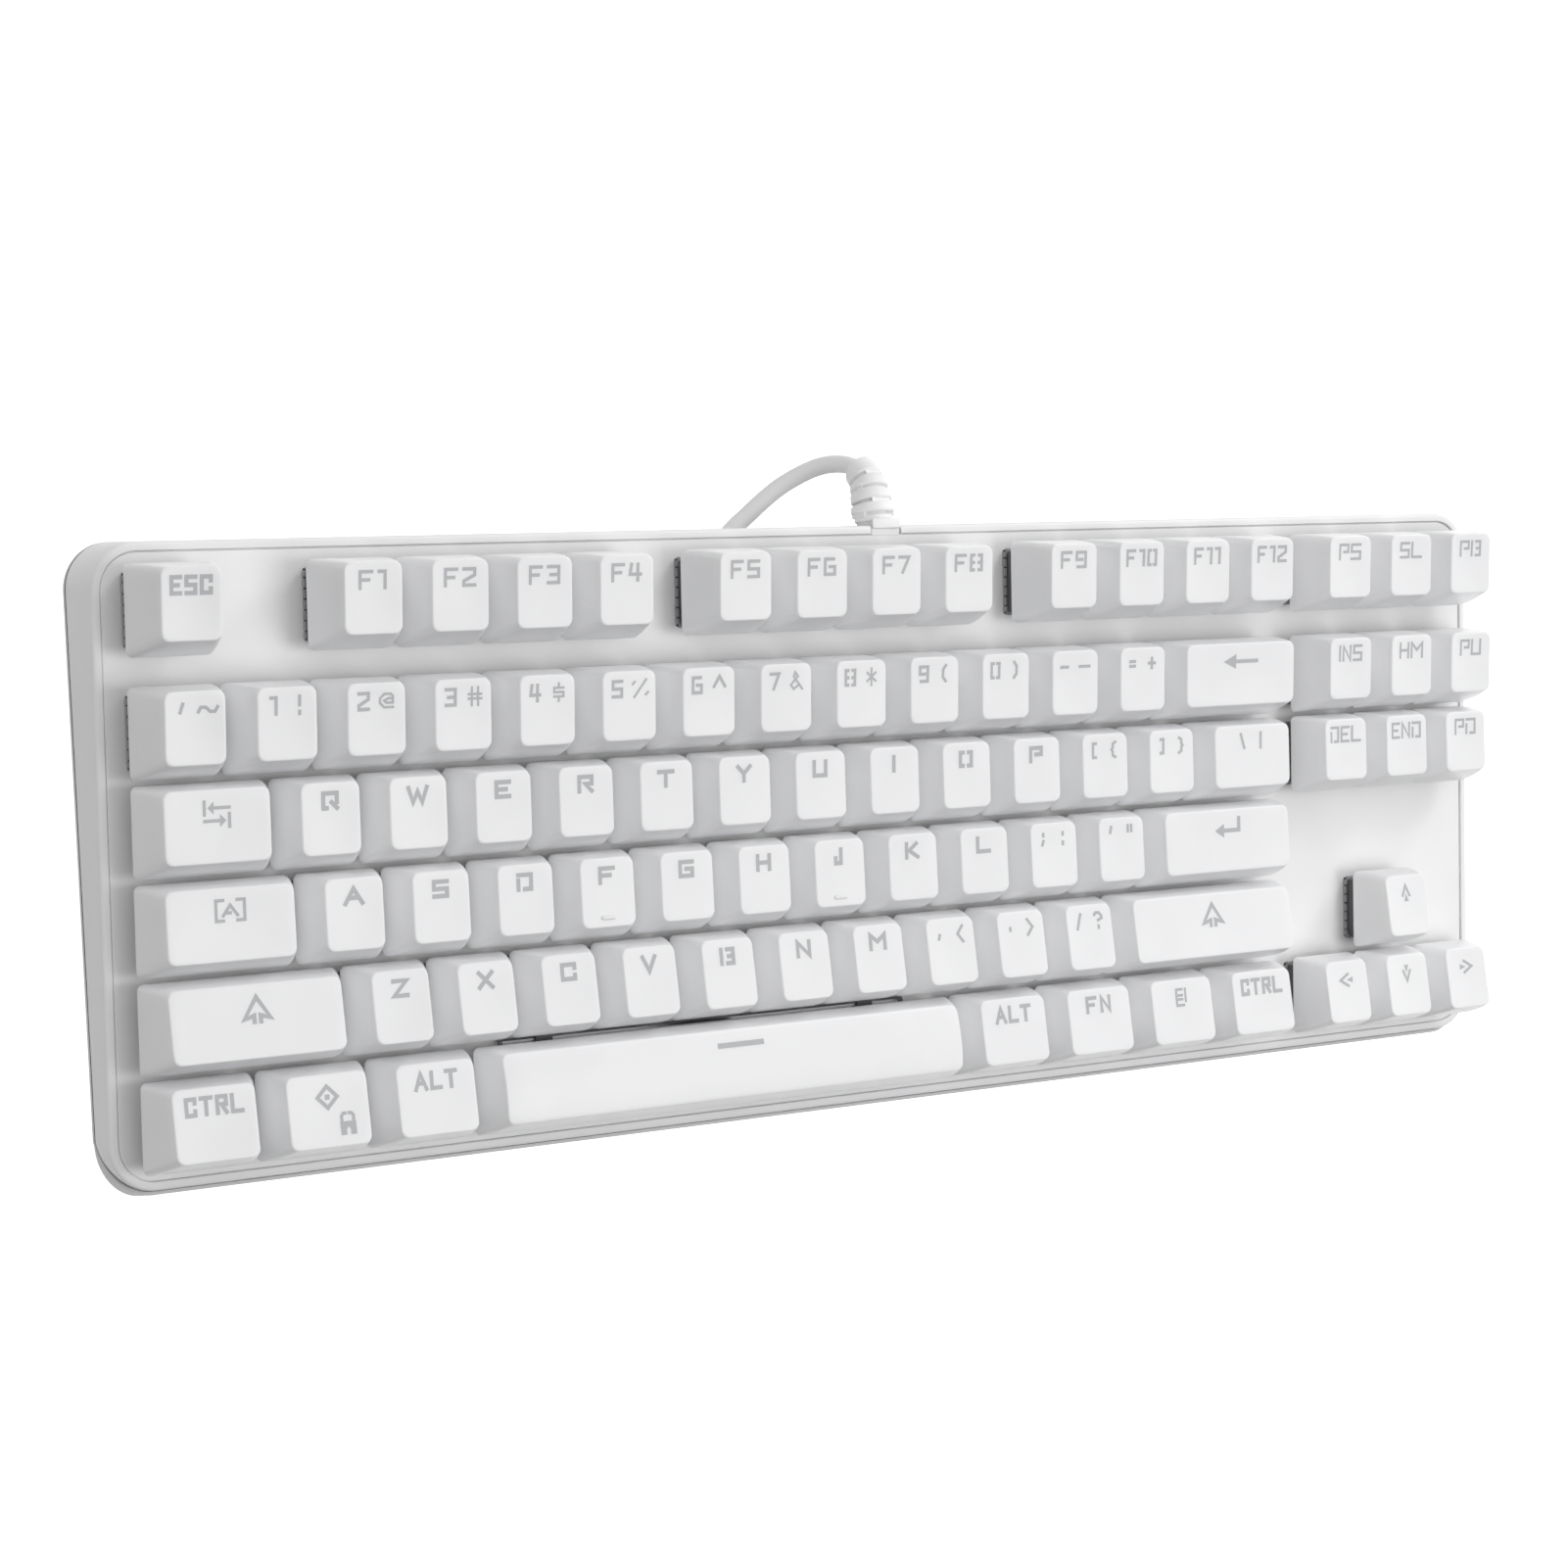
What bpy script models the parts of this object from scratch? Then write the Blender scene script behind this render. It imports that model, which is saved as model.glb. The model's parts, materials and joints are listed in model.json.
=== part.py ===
"""Compact 87-key mechanical keyboard with floating keycaps, flip feet and a USB lead.

Units are metres, +Z is up and the object stands on z = 0. Most pieces are modelled in the key
plane, whose origin is the middle of the switch plate's upper face. The key plane is tilted,
because the case is a wedge and its flip feet are open.
"""

import math

import bmesh
import bpy
from mathutils import Matrix, Vector

MM = 0.001

# Key grid.
KEY_PITCH = 19.05 * MM
KEY_SPACING = 0.95 * MM
FUNCTION_ROW_GAP = 4.55 * MM
FIELD_WIDTH = 18.25 * KEY_PITCH
FIELD_DEPTH = 6 * KEY_PITCH + FUNCTION_ROW_GAP
ROWS = 6

# Keycap profile, in heights above the plate. Skirts hang clear of it; each row's top has its own
# rear and front height. The space bar's skirt stays higher, to clear its stabiliser.
SKIRT_HEIGHT = 5.3 * MM
SPACE_SKIRT_HEIGHT = 6.6 * MM
ROW_TOP_HEIGHTS = [
    (17.0 * MM, 16.5 * MM),
    (16.8 * MM, 16.4 * MM),
    (14.6 * MM, 14.9 * MM),
    (13.9 * MM, 14.7 * MM),
    (13.6 * MM, 16.0 * MM),
    (13.7 * MM, 16.1 * MM),
]
TOP_SIDE_INSET = 2.85 * MM
TOP_REAR_INSET = 0.75 * MM
TOP_FRONT_INSET = 3.2 * MM
CAP_WALL = 1.3 * MM
CAP_ROOF = 1.9 * MM
STEM_HALF_WIDTH = 2.2 * MM
STEM_FOOT_HEIGHT = 2.2 * MM
LINK_HEIGHT = 1.2 * MM

# Switches, plate and circuit board.
HOUSING_HALF_WIDTH = 6.8 * MM
HOUSING_FLANGE_HALF_WIDTH = 7.8 * MM
HOUSING_TOP_HALF_WIDTH = 5.3 * MM
HOUSING_MOUTH_HALF_WIDTH = 3.2 * MM
HOUSING_TOP = 6.2 * MM
HOUSING_BOTTOM = -4.7 * MM
HOUSING_CAVITY_FLOOR = -3.2 * MM
FLANGE_TOP = 1.0 * MM
CARRIER_HALF_WIDTH = 1.0 * MM
PLATE_CUTOUT_HALF_WIDTH = 7.15 * MM
PLATE_THICKNESS = 1.5 * MM
BOARD_TOP = -5.0 * MM
BOARD_THICKNESS = 1.6 * MM
BOARD_INSET = 6.4 * MM
FIT_GAP = 0.3 * MM

# Case.
SIDE_MARGIN = 4.1 * MM
END_MARGIN = 3.65 * MM
HALF_WIDTH = FIELD_WIDTH / 2 + SIDE_MARGIN
HALF_DEPTH = FIELD_DEPTH / 2 + END_MARGIN
CORNER_RADIUS = 9.5 * MM
CORNER_STEPS = 5
RIM_TOP = 0.4 * MM
RIM_WIDTH = 1.85 * MM
RIM_CHAMFER = 0.7 * MM
GROOVE = 0.35 * MM
WEDGE = math.radians(3.0)
WALL_BOTTOM_AT_FRONT = -6.4 * MM
FRONT_SEAM = -1.4 * MM
FRONT_LIP = 2.1 * MM
BELT_DROP = 0.8 * MM
TRAY_DROP = 5.5 * MM
TRAY_INSET = 7.0 * MM
TRAY_WALL = 2.2 * MM
TRAY_FLOOR = 2.0 * MM
POST_RADIUS = 2.1 * MM
POST_HOLE_RADIUS = 2.6 * MM
POST_PLACES = [(3.0, 1.0), (9.0, 1.0), (16.0, 1.0), (1.5, 5.12), (8.6, 5.12), (16.75, 5.12)]

# How the key plane stands.
FEET_LIFT = math.radians(6.5)
PLANE_TILT = WEDGE + FEET_LIFT
PLANE_HEIGHT = 22.5 * MM
PLANE_SHIFT = -0.7 * MM

# Flip feet, about hinge pins low in the tray.
FOOT_X = 150 * MM
HINGE_Y = 46 * MM
HINGE_RISE = 2.6 * MM
FOOT_HALF_WIDTH = 11 * MM
FOOT_LEAN = math.radians(10)
KNUCKLE_RADIUS = 2.2 * MM
FOOT_TIP_HALF_THICKNESS = 1.9 * MM
PIN_RADIUS = 1.1 * MM
PIN_HOLE_RADIUS = 1.5 * MM
PIN_REACH = 13.2 * MM
PIN_HOLE_REACH = 14.2 * MM
POCKET_HALF_WIDTH = 12 * MM
POCKET_FRONT = -17.5 * MM
POCKET_REAR = 3.2 * MM
POCKET_RISE = 5.3 * MM
POCKET_WALL = 3.0 * MM
POCKET_ROOF = 1.6 * MM

# Front pads.
PAD_X = 140 * MM
PAD_HALF_LENGTH = 15 * MM
PAD_FRONT = -55 * MM
PAD_REAR = -46 * MM

# Cable outlet in the rear wall, in the key plane.
OUTLET_X = 6.3 * MM
OUTLET_Z = -4.5 * MM
NOTCH_HALF_WIDTH = 4.0 * MM
NOTCH_BOTTOM = -9.0 * MM
CLIP_HALF_WIDTH = 3.7 * MM

# Cable, in world coordinates from the rear wall to where it joins its hank.
CABLE_RADIUS = 2.0 * MM
CABLE_STEP = 5 * MM
CABLE_ROUTE = [
    (0.0063, 0.0624, 0.0286),
    (0.0063, 0.0656, 0.0288),
    (0.0064, 0.0687, 0.0285),
    (0.0067, 0.0720, 0.0274),
    (0.0068, 0.0750, 0.0249),
    (0.0061, 0.0771, 0.0213),
    (0.0046, 0.0780, 0.0177),
    (0.0028, 0.0780, 0.0146),
    (0.0009, 0.0773, 0.0119),
    (-0.0012, 0.0762, 0.0096),
    (-0.0035, 0.0748, 0.0077),
    (-0.0057, 0.0731, 0.0061),
    (-0.0080, 0.0712, 0.0048),
    (-0.0103, 0.0692, 0.0037),
    (-0.0129, 0.0672, 0.0030),
    (-0.0162, 0.0645, 0.0027),
    (-0.0201, 0.0620, 0.0027),
    (-0.0245, 0.0604, 0.0028),
    (-0.0290, 0.0598, 0.0029),
    (-0.0310, 0.0597, 0.0030),
]
RELIEF_LENGTH = 14.0 * MM
RELIEF_NECK_RADIUS = 4.3 * MM
RELIEF_BASE_RADIUS = 5.0 * MM
RELIEF_END_RADIUS = 3.7 * MM

# Hank of the stored cable: two layers of three turns with straight runs and round ends.
HANK_CENTRE = (-78.2 * MM, 39.5 * MM)
HANK_HALF_RUN = 34 * MM
HANK_OUTER_RADIUS = 22.4 * MM
HANK_INNER_RADIUS = 9.8 * MM
HANK_BOTTOM = 0.95 * MM
HANK_TOP = 9.1 * MM
TIE_HALF_WIDTH = 4 * MM
TIE_THICKNESS = 0.6 * MM

# USB plug, along +X from the hank.
PLUG_TAIL = [
    (-30.2 * MM, 19.3 * MM, 6.95 * MM, 2.3 * MM),
    (-24.0 * MM, 19.5 * MM, 6.1 * MM, 2.6 * MM),
    (-17.0 * MM, 20.1 * MM, 4.8 * MM, 2.9 * MM),
    (-10.0 * MM, 20.8 * MM, 4.0 * MM, 3.2 * MM),
]
PLUG_AXIS = (21.1 * MM, 4.0 * MM)
GRIP_START = -9.0 * MM
GRIP_END = 20.0 * MM
GRIP_WIDTH = 11.0 * MM
GRIP_HEIGHT = 7.6 * MM
GRIP_CORNER = 2.4 * MM
SHELL_LENGTH = 18.7 * MM
SHELL_WIDTH = 12.0 * MM
SHELL_HEIGHT = 4.5 * MM
SHELL_WALL = 0.4 * MM
SHELL_MOUTH_DEPTH = 14 * MM

# Node name, row from the rear, start in pitches, key widths in pitches. A name that starts with
# keys_ is a bank of neighbouring caps that travels as one.
KEY_NODES = [
    ("key_escape", 0, 0, [1]),
    ("keys_f1_to_f4", 0, 2, [1] * 4),
    ("keys_f5_to_f8", 0, 6.5, [1] * 4),
    ("keys_f9_to_f12", 0, 11, [1] * 4),
    ("keys_print_to_pause", 0, 15.25, [1] * 3),
    ("keys_grave_to_6", 1, 0, [1] * 7),
    ("keys_7_to_equals", 1, 7, [1] * 6),
    ("key_backspace", 1, 13, [2]),
    ("keys_insert_to_page_up", 1, 15.25, [1] * 3),
    ("key_tab", 2, 0, [1.5]),
    ("keys_q_to_t", 2, 1.5, [1] * 5),
    ("keys_y_to_p", 2, 6.5, [1] * 5),
    ("keys_brackets", 2, 11.5, [1, 1, 1.5]),
    ("keys_delete_to_page_down", 2, 15.25, [1] * 3),
    ("key_caps_lock", 3, 0, [1.75]),
    *((f"key_{letter}", 3, 1.75 + i, [1]) for i, letter in enumerate("asdfghjkl")),
    ("keys_semicolon_quote", 3, 10.75, [1] * 2),
    ("key_enter", 3, 12.75, [2.25]),
    ("key_left_shift", 4, 0, [2.25]),
    ("keys_z_to_b", 4, 2.25, [1] * 5),
    ("keys_n_to_m", 4, 7.25, [1] * 2),
    ("keys_comma_to_slash", 4, 9.25, [1] * 3),
    ("key_right_shift", 4, 12.25, [2.75]),
    ("key_up", 4, 16.25, [1]),
    ("key_left_ctrl", 5, 0, [1.25]),
    ("key_system", 5, 1.25, [1.25]),
    ("key_left_alt", 5, 2.5, [1.25]),
    ("key_space", 5, 3.75, [6.25]),
    ("key_right_alt", 5, 10, [1.25]),
    ("key_fn", 5, 11.25, [1.25]),
    ("key_menu", 5, 12.5, [1.25]),
    ("key_right_ctrl", 5, 13.75, [1.25]),
    ("key_left", 5, 15.25, [1]),
    ("key_down", 5, 16.25, [1]),
    ("key_right", 5, 17.25, [1]),
]

# Stabiliser wire under the space bar.
STABILISER_HALF_SPAN = 50 * MM
STABILISER_WIRE_RADIUS = 0.7 * MM
STABILISER_REACH = 8.1 * MM
STABILISER_RISE = 3.9 * MM
STABILISER_AXIS = (8.9 * MM, 1.15 * MM)


def clear_scene():
    for obj in list(bpy.data.objects):
        bpy.data.objects.remove(obj, do_unlink=True)


def make_material(name, colour, roughness, metallic=0.0):
    made = bpy.data.materials.new(name)
    made.use_nodes = True
    shader = made.node_tree.nodes["Principled BSDF"]
    shader.inputs["Base Color"].default_value = (*colour, 1.0)
    shader.inputs["Roughness"].default_value = roughness
    shader.inputs["Metallic"].default_value = metallic
    return made


def make_materials():
    return {
        "cap": make_material("cap_plastic", (0.80, 0.80, 0.82), 0.42),
        "case": make_material("case_plastic", (0.82, 0.82, 0.83), 0.5),
        "plate": make_material("painted_plate", (0.80, 0.81, 0.82), 0.38),
        "board": make_material("circuit_board", (0.82, 0.82, 0.80), 0.55),
        "housing": make_material("switch_housing", (0.06, 0.06, 0.065), 0.45),
        "steel": make_material("steel", (0.62, 0.62, 0.64), 0.25, 1.0),
        "cable": make_material("cable_sheath", (0.80, 0.80, 0.81), 0.55),
        "rubber": make_material("rubber", (0.16, 0.16, 0.17), 0.8),
        "tie": make_material("cable_tie", (0.10, 0.10, 0.11), 0.7),
    }


def make_key_plane():
    """An empty whose XY plane is the plate's upper face."""
    plane = bpy.data.objects.new("key_plane", None)
    bpy.context.scene.collection.objects.link(plane)
    plane.location = (0, PLANE_SHIFT, PLANE_HEIGHT)
    plane.rotation_euler = (PLANE_TILT, 0, 0)
    return plane


def to_world(x, y, z):
    """A point of the key plane in world coordinates."""
    turned = Matrix.Rotation(PLANE_TILT, 3, "X") @ Vector((x, y, z))
    return turned + Vector((0, PLANE_SHIFT, PLANE_HEIGHT))


def make_object(name, shape, material, parent=None, location=(0, 0, 0)):
    bmesh.ops.recalc_face_normals(shape, faces=shape.faces)
    mesh = bpy.data.meshes.new(name)
    shape.to_mesh(mesh)
    shape.free()
    if material:
        mesh.materials.append(material)
    obj = bpy.data.objects.new(name, mesh)
    bpy.context.scene.collection.objects.link(obj)
    obj.parent = parent
    obj.location = location
    return obj


def make_helper(name, shape, parent=None, location=(0, 0, 0)):
    helper = make_object(name, shape, None, parent, location)
    helper.hide_render = True
    helper.display_type = "WIRE"
    return helper


def combine(obj, helper, operation):
    modifier = obj.modifiers.new(f"{operation.lower()}_{helper.name}", "BOOLEAN")
    modifier.operation = operation
    modifier.solver = "EXACT"
    modifier.object = helper


def add_loft(shape, loops, ring=False):
    """Joins loops of equal length one after another; a ring joins the last to the first."""
    rows = [[shape.verts.new(point) for point in loop] for loop in loops]
    following = rows[1:] + rows[:1] if ring else rows[1:]
    count = len(rows[0])
    for low, high in zip(rows, following):
        for i in range(count):
            j = (i + 1) % count
            shape.faces.new((low[i], low[j], high[j], high[i]))
    if not ring:
        shape.faces.new(rows[0][::-1])
        shape.faces.new(rows[-1])


def add_box(shape, low, high):
    corners = [(low[0], low[1]), (high[0], low[1]), (high[0], high[1]), (low[0], high[1])]
    add_loft(shape, [[(x, y, z) for x, y in corners] for z in (low[2], high[2])])


def add_post(shape, x, y, low, high, radius, sides=8):
    angles = [2 * math.pi * (i + 0.5) / sides for i in range(sides)]
    circle = [(x + radius * math.cos(a), y + radius * math.sin(a)) for a in angles]
    add_loft(shape, [[(px, py, z) for px, py in circle] for z in (low, high)])


def add_pin(shape, x_reach, y, z, radius, sides=12):
    """A cylinder along X."""
    angles = [2 * math.pi * i / sides for i in range(sides)]
    circle = [(y + radius * math.cos(a), z + radius * math.sin(a)) for a in angles]
    add_loft(shape, [[(x, py, pz) for py, pz in circle] for x in (-x_reach, x_reach)])


def rounded_rectangle(half_width, half_height, radius, steps):
    """Points anticlockwise from the lower side's right end."""
    points = []
    for quarter, (sx, sy) in enumerate([(1, -1), (1, 1), (-1, 1), (-1, -1)]):
        for i in range(steps + 1):
            angle = math.radians(90 * (quarter - 1 + i / steps))
            x = sx * (half_width - radius) + radius * math.cos(angle)
            y = sy * (half_height - radius) + radius * math.sin(angle)
            points.append((x, y))
    return points


def outline(inset=0.0):
    return rounded_rectangle(HALF_WIDTH - inset, HALF_DEPTH - inset, CORNER_RADIUS - inset, CORNER_STEPS)


def key_centre(row, start, width):
    """Middle of a key in the key plane."""
    x = (start + width / 2) * KEY_PITCH - FIELD_WIDTH / 2
    y = FIELD_DEPTH / 2 - (row + 0.5) * KEY_PITCH
    if row > 0:
        y -= FUNCTION_ROW_GAP
    return x, y


def keys_of(row, start, widths):
    """(x, y, width in metres) of each key of a bank."""
    found = []
    for width in widths:
        x, y = key_centre(row, start, width)
        found.append((x, y, width * KEY_PITCH))
        start += width
    return found


def all_keys():
    return [key for _, row, start, widths in KEY_NODES for key in keys_of(row, start, widths)]


def wall_bottom(y):
    """Height of the side walls' lower edge at a depth y."""
    return WALL_BOTTOM_AT_FRONT - (y + HALF_DEPTH) * math.tan(WEDGE)


def front_share(y):
    """0 behind the front corners, rising to 1 at the front edge."""
    return min(1.0, max(0.0, (CORNER_RADIUS - HALF_DEPTH - y) / CORNER_RADIUS))


def seam(y):
    """Height of the joint between top frame and tray: it climbs around the front corners."""
    share = front_share(y)
    return (1 - share) * wall_bottom(y) + share * FRONT_SEAM


def base_height(y):
    """Height of the tray's underside at a depth y."""
    return wall_bottom(y) - TRAY_DROP


def make_top_frame(plane, material):
    shape = bmesh.new()
    outer, inner = outline(), outline(RIM_WIDTH)
    loops = [
        [(x, y, seam(y)) for x, y in outer],
        [(x, y, RIM_TOP - RIM_CHAMFER) for x, y in outer],
        [(x, y, RIM_TOP) for x, y in outline(RIM_CHAMFER)],
        [(x, y, RIM_TOP) for x, y in inner],
        [(x, y, seam(y)) for x, y in inner],
    ]
    add_loft(shape, loops, ring=True)
    frame = make_object("top_frame", shape, material, plane)
    notch = bmesh.new()
    low = (OUTLET_X - NOTCH_HALF_WIDTH, HALF_DEPTH - 2 * RIM_WIDTH, NOTCH_BOTTOM)
    high = (OUTLET_X + NOTCH_HALF_WIDTH, HALF_DEPTH + RIM_WIDTH, RIM_TOP + RIM_WIDTH)
    add_box(notch, low, high)
    combine(frame, make_helper("cutter_cable_notch", notch, plane), "DIFFERENCE")


def tray_belt(x, y):
    """Widest line of the tray, which stands forward of the rim along the front."""
    return x, y - FRONT_LIP * front_share(y), wall_bottom(y) - BELT_DROP


def hinge_frame(side):
    """Placement of one foot's hinge: its origin is on the tray's underside below the pins."""
    place = Matrix.Translation((side * FOOT_X, HINGE_Y, base_height(HINGE_Y)))
    return place @ Matrix.Rotation(-WEDGE, 4, "X")


def place_on_base(obj, side):
    obj.matrix_local = hinge_frame(side)


def make_bottom_tray(plane, material):
    shape = bmesh.new()
    loops = [
        [(x, y, base_height(y)) for x, y in outline(TRAY_INSET)],
        [tray_belt(x, y) for x, y in outline()],
        [(x, y, seam(y) - FIT_GAP) for x, y in outline()],
        [(x, y, seam(y) - FIT_GAP) for x, y in outline(TRAY_WALL)],
        [(x, y, base_height(y) + TRAY_FLOOR) for x, y in outline(TRAY_INSET + 1.5 * MM)],
    ]
    add_loft(shape, loops)
    tray = make_object("bottom_tray", shape, material, plane)

    posts = bmesh.new()
    for x, y in post_places():
        low = base_height(y) + TRAY_FLOOR / 2
        add_post(posts, x, y, low, -PLATE_THICKNESS - FIT_GAP, POST_RADIUS)
    combine(tray, make_helper("tray_posts", posts, plane), "UNION")

    for side, name in ((-1, "left"), (1, "right")):
        block = bmesh.new()
        reach = POCKET_HALF_WIDTH + POCKET_WALL
        low = (-reach, POCKET_FRONT - POCKET_WALL, TRAY_FLOOR / 4)
        add_box(block, low, (reach, POCKET_REAR + POCKET_WALL, POCKET_RISE + POCKET_ROOF))
        block_helper = make_helper(f"tray_hinge_block_{name}", block, plane)
        place_on_base(block_helper, side)
        combine(tray, block_helper, "UNION")

        pocket = bmesh.new()
        low = (-POCKET_HALF_WIDTH, POCKET_FRONT, -TRAY_FLOOR)
        add_box(pocket, low, (POCKET_HALF_WIDTH, POCKET_REAR, POCKET_RISE))
        pocket_helper = make_helper(f"cutter_foot_pocket_{name}", pocket, plane)
        place_on_base(pocket_helper, side)
        combine(tray, pocket_helper, "DIFFERENCE")

        hole = bmesh.new()
        add_pin(hole, PIN_HOLE_REACH, 0, HINGE_RISE, PIN_HOLE_RADIUS)
        hole_helper = make_helper(f"cutter_pin_hole_{name}", hole, plane)
        place_on_base(hole_helper, side)
        combine(tray, hole_helper, "DIFFERENCE")


def post_places():
    """Screw posts of the tray in the key plane, between the switch rows."""
    for across, forward in POST_PLACES:
        yield across * KEY_PITCH - FIELD_WIDTH / 2, forward * KEY_PITCH - FIELD_DEPTH / 2


def make_prism(name, inset, low, high, material, plane):
    shape = bmesh.new()
    add_loft(shape, [[(x, y, z) for x, y in outline(inset)] for z in (low, high)])
    return make_object(name, shape, material, plane)


def make_switch_plate(plane, material):
    plate = make_prism("switch_plate", RIM_WIDTH + GROOVE, -PLATE_THICKNESS, 0, material, plane)
    holes = bmesh.new()
    half = PLATE_CUTOUT_HALF_WIDTH
    for x, y, _ in all_keys():
        low = (x - half, y - half, -2 * PLATE_THICKNESS)
        add_box(holes, low, (x + half, y + half, PLATE_THICKNESS))
    combine(plate, make_helper("cutter_switch_holes", holes, plane), "DIFFERENCE")


def make_circuit_board(plane, material):
    low = BOARD_TOP - BOARD_THICKNESS
    board = make_prism("circuit_board", BOARD_INSET, low, BOARD_TOP, material, plane)
    holes = bmesh.new()
    for x, y in post_places():
        add_post(holes, x, y, low - BOARD_THICKNESS, BOARD_TOP + BOARD_THICKNESS, POST_HOLE_RADIUS)
    combine(board, make_helper("cutter_board_holes", holes, plane), "DIFFERENCE")


def square(x, y, half, z):
    return [(x - half, y - half, z), (x + half, y - half, z), (x + half, y + half, z), (x - half, y + half, z)]


def make_switch_housings(plane, material):
    """All housings as one solid, joined below the plate by a thin carrier."""
    carrier_low, carrier_high = HOUSING_BOTTOM + FIT_GAP, HOUSING_CAVITY_FLOOR - FIT_GAP
    spine = bmesh.new()
    spine_x = 0.7 * KEY_PITCH - FIELD_WIDTH / 2
    front, rear = key_centre(ROWS - 1, 0, 1)[1], key_centre(0, 0, 1)[1]
    low = (spine_x - CARRIER_HALF_WIDTH, front, carrier_low)
    add_box(spine, low, (spine_x + CARRIER_HALF_WIDTH, rear, carrier_high))
    housings = make_object("switch_housings", spine, material, plane)

    bars = bmesh.new()
    for row in range(ROWS):
        keys = [key for _, r, start, widths in KEY_NODES if r == row for key in keys_of(r, start, widths)]
        xs, y = [key[0] for key in keys], keys[0][1]
        low = (min(spine_x, *xs), y - CARRIER_HALF_WIDTH, carrier_low)
        add_box(bars, low, (max(xs), y + CARRIER_HALF_WIDTH, carrier_high))
    combine(housings, make_helper("carrier_bars", bars, plane), "UNION")

    blocks = bmesh.new()
    for x, y, _ in all_keys():
        loops = [
            square(x, y, HOUSING_HALF_WIDTH, HOUSING_BOTTOM),
            square(x, y, HOUSING_HALF_WIDTH, FIT_GAP),
            square(x, y, HOUSING_FLANGE_HALF_WIDTH, FIT_GAP),
            square(x, y, HOUSING_FLANGE_HALF_WIDTH, FLANGE_TOP),
            square(x, y, HOUSING_TOP_HALF_WIDTH, HOUSING_TOP),
            square(x, y, HOUSING_MOUTH_HALF_WIDTH, HOUSING_TOP),
            square(x, y, HOUSING_MOUTH_HALF_WIDTH, HOUSING_CAVITY_FLOOR),
        ]
        add_loft(blocks, loops)
    combine(housings, make_helper("housing_blocks", blocks, plane), "UNION")


def cap_loop(x, width, height_rear, height_front, side, rear, front):
    """Four corners of a section of a cap, inset from its key cell."""
    x_low, x_high = x - width / 2 + side, x + width / 2 - side
    y_low, y_high = front - KEY_PITCH / 2, KEY_PITCH / 2 - rear
    return [
        (x_low, y_low, height_front),
        (x_high, y_low, height_front),
        (x_high, y_high, height_rear),
        (x_low, y_high, height_rear),
    ]


def add_cap(shape, x, width, row):
    """A hollow cap with its stem, at x along its bank and centred on y = 0."""
    rear, front = ROW_TOP_HEIGHTS[row]
    skirt = SPACE_SKIRT_HEIGHT if width > 4 * KEY_PITCH else SKIRT_HEIGHT
    rim = KEY_SPACING / 2
    wall = rim + CAP_WALL
    top = (TOP_SIDE_INSET + rim, TOP_REAR_INSET + rim, TOP_FRONT_INSET + rim)
    roof = (TOP_SIDE_INSET + wall, TOP_REAR_INSET + wall, TOP_FRONT_INSET + wall)
    ceiling = min(rear, front) - CAP_ROOF
    loops = [
        square(x, 0, STEM_HALF_WIDTH, STEM_FOOT_HEIGHT),
        square(x, 0, STEM_HALF_WIDTH, ceiling),
        cap_loop(x, width, ceiling, ceiling, *roof),
        cap_loop(x, width, skirt, skirt, wall, wall, wall),
        cap_loop(x, width, skirt, skirt, rim, rim, rim),
        cap_loop(x, width, rear, front, *top),
    ]
    add_loft(shape, loops)


def make_keys(plane, material):
    for name, row, start, widths in KEY_NODES:
        keys = keys_of(row, start, widths)
        middle = sum(x for x, _, _ in keys) / len(keys)
        shape = bmesh.new()
        for x, _, width in keys:
            add_cap(shape, x - middle, width, row)
        place = (middle, keys[0][1], 0)
        bank = make_object(name, shape, material, plane, place)
        if len(keys) > 1:
            links = bmesh.new()
            for x, _, width in keys[:-1]:
                edge = x - middle + width / 2
                low = (edge - KEY_SPACING, 0.3 * KEY_PITCH, SKIRT_HEIGHT + LINK_HEIGHT / 4)
                add_box(links, low, (edge + KEY_SPACING, 0.4 * KEY_PITCH, SKIRT_HEIGHT + LINK_HEIGHT))
            combine(bank, make_helper(f"links_{name}", links, plane, place), "UNION")


def make_tube(name, points, radius, resolution, material, parent=None, location=(0, 0, 0)):
    curve = bpy.data.curves.new(name, "CURVE")
    curve.dimensions = "3D"
    curve.bevel_depth = radius
    curve.bevel_resolution = resolution
    curve.use_fill_caps = True
    spline = curve.splines.new("POLY")
    spline.points.add(len(points) - 1)
    for point, place in zip(spline.points, points):
        point.co = (*place, 1.0)
    curve.materials.append(material)
    obj = bpy.data.objects.new(name, curve)
    bpy.context.scene.collection.objects.link(obj)
    obj.parent = parent
    obj.location = location


def make_space_stabiliser(plane, material):
    """A bent wire that turns in the plate's clips; its arms hold the space bar level."""
    name, row, start, widths = next(entry for entry in KEY_NODES if entry[0] == "key_space")
    x, y = key_centre(row, start, widths[0])
    tip = (-STABILISER_REACH, STABILISER_RISE)
    points = [
        (-STABILISER_HALF_SPAN, *tip),
        (-STABILISER_HALF_SPAN, 0, 0),
        (STABILISER_HALF_SPAN, 0, 0),
        (STABILISER_HALF_SPAN, *tip),
    ]
    place = (x, y + STABILISER_AXIS[0], STABILISER_AXIS[1])
    make_tube("space_stabiliser", points, STABILISER_WIRE_RADIUS, 1, material, plane, place)


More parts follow.
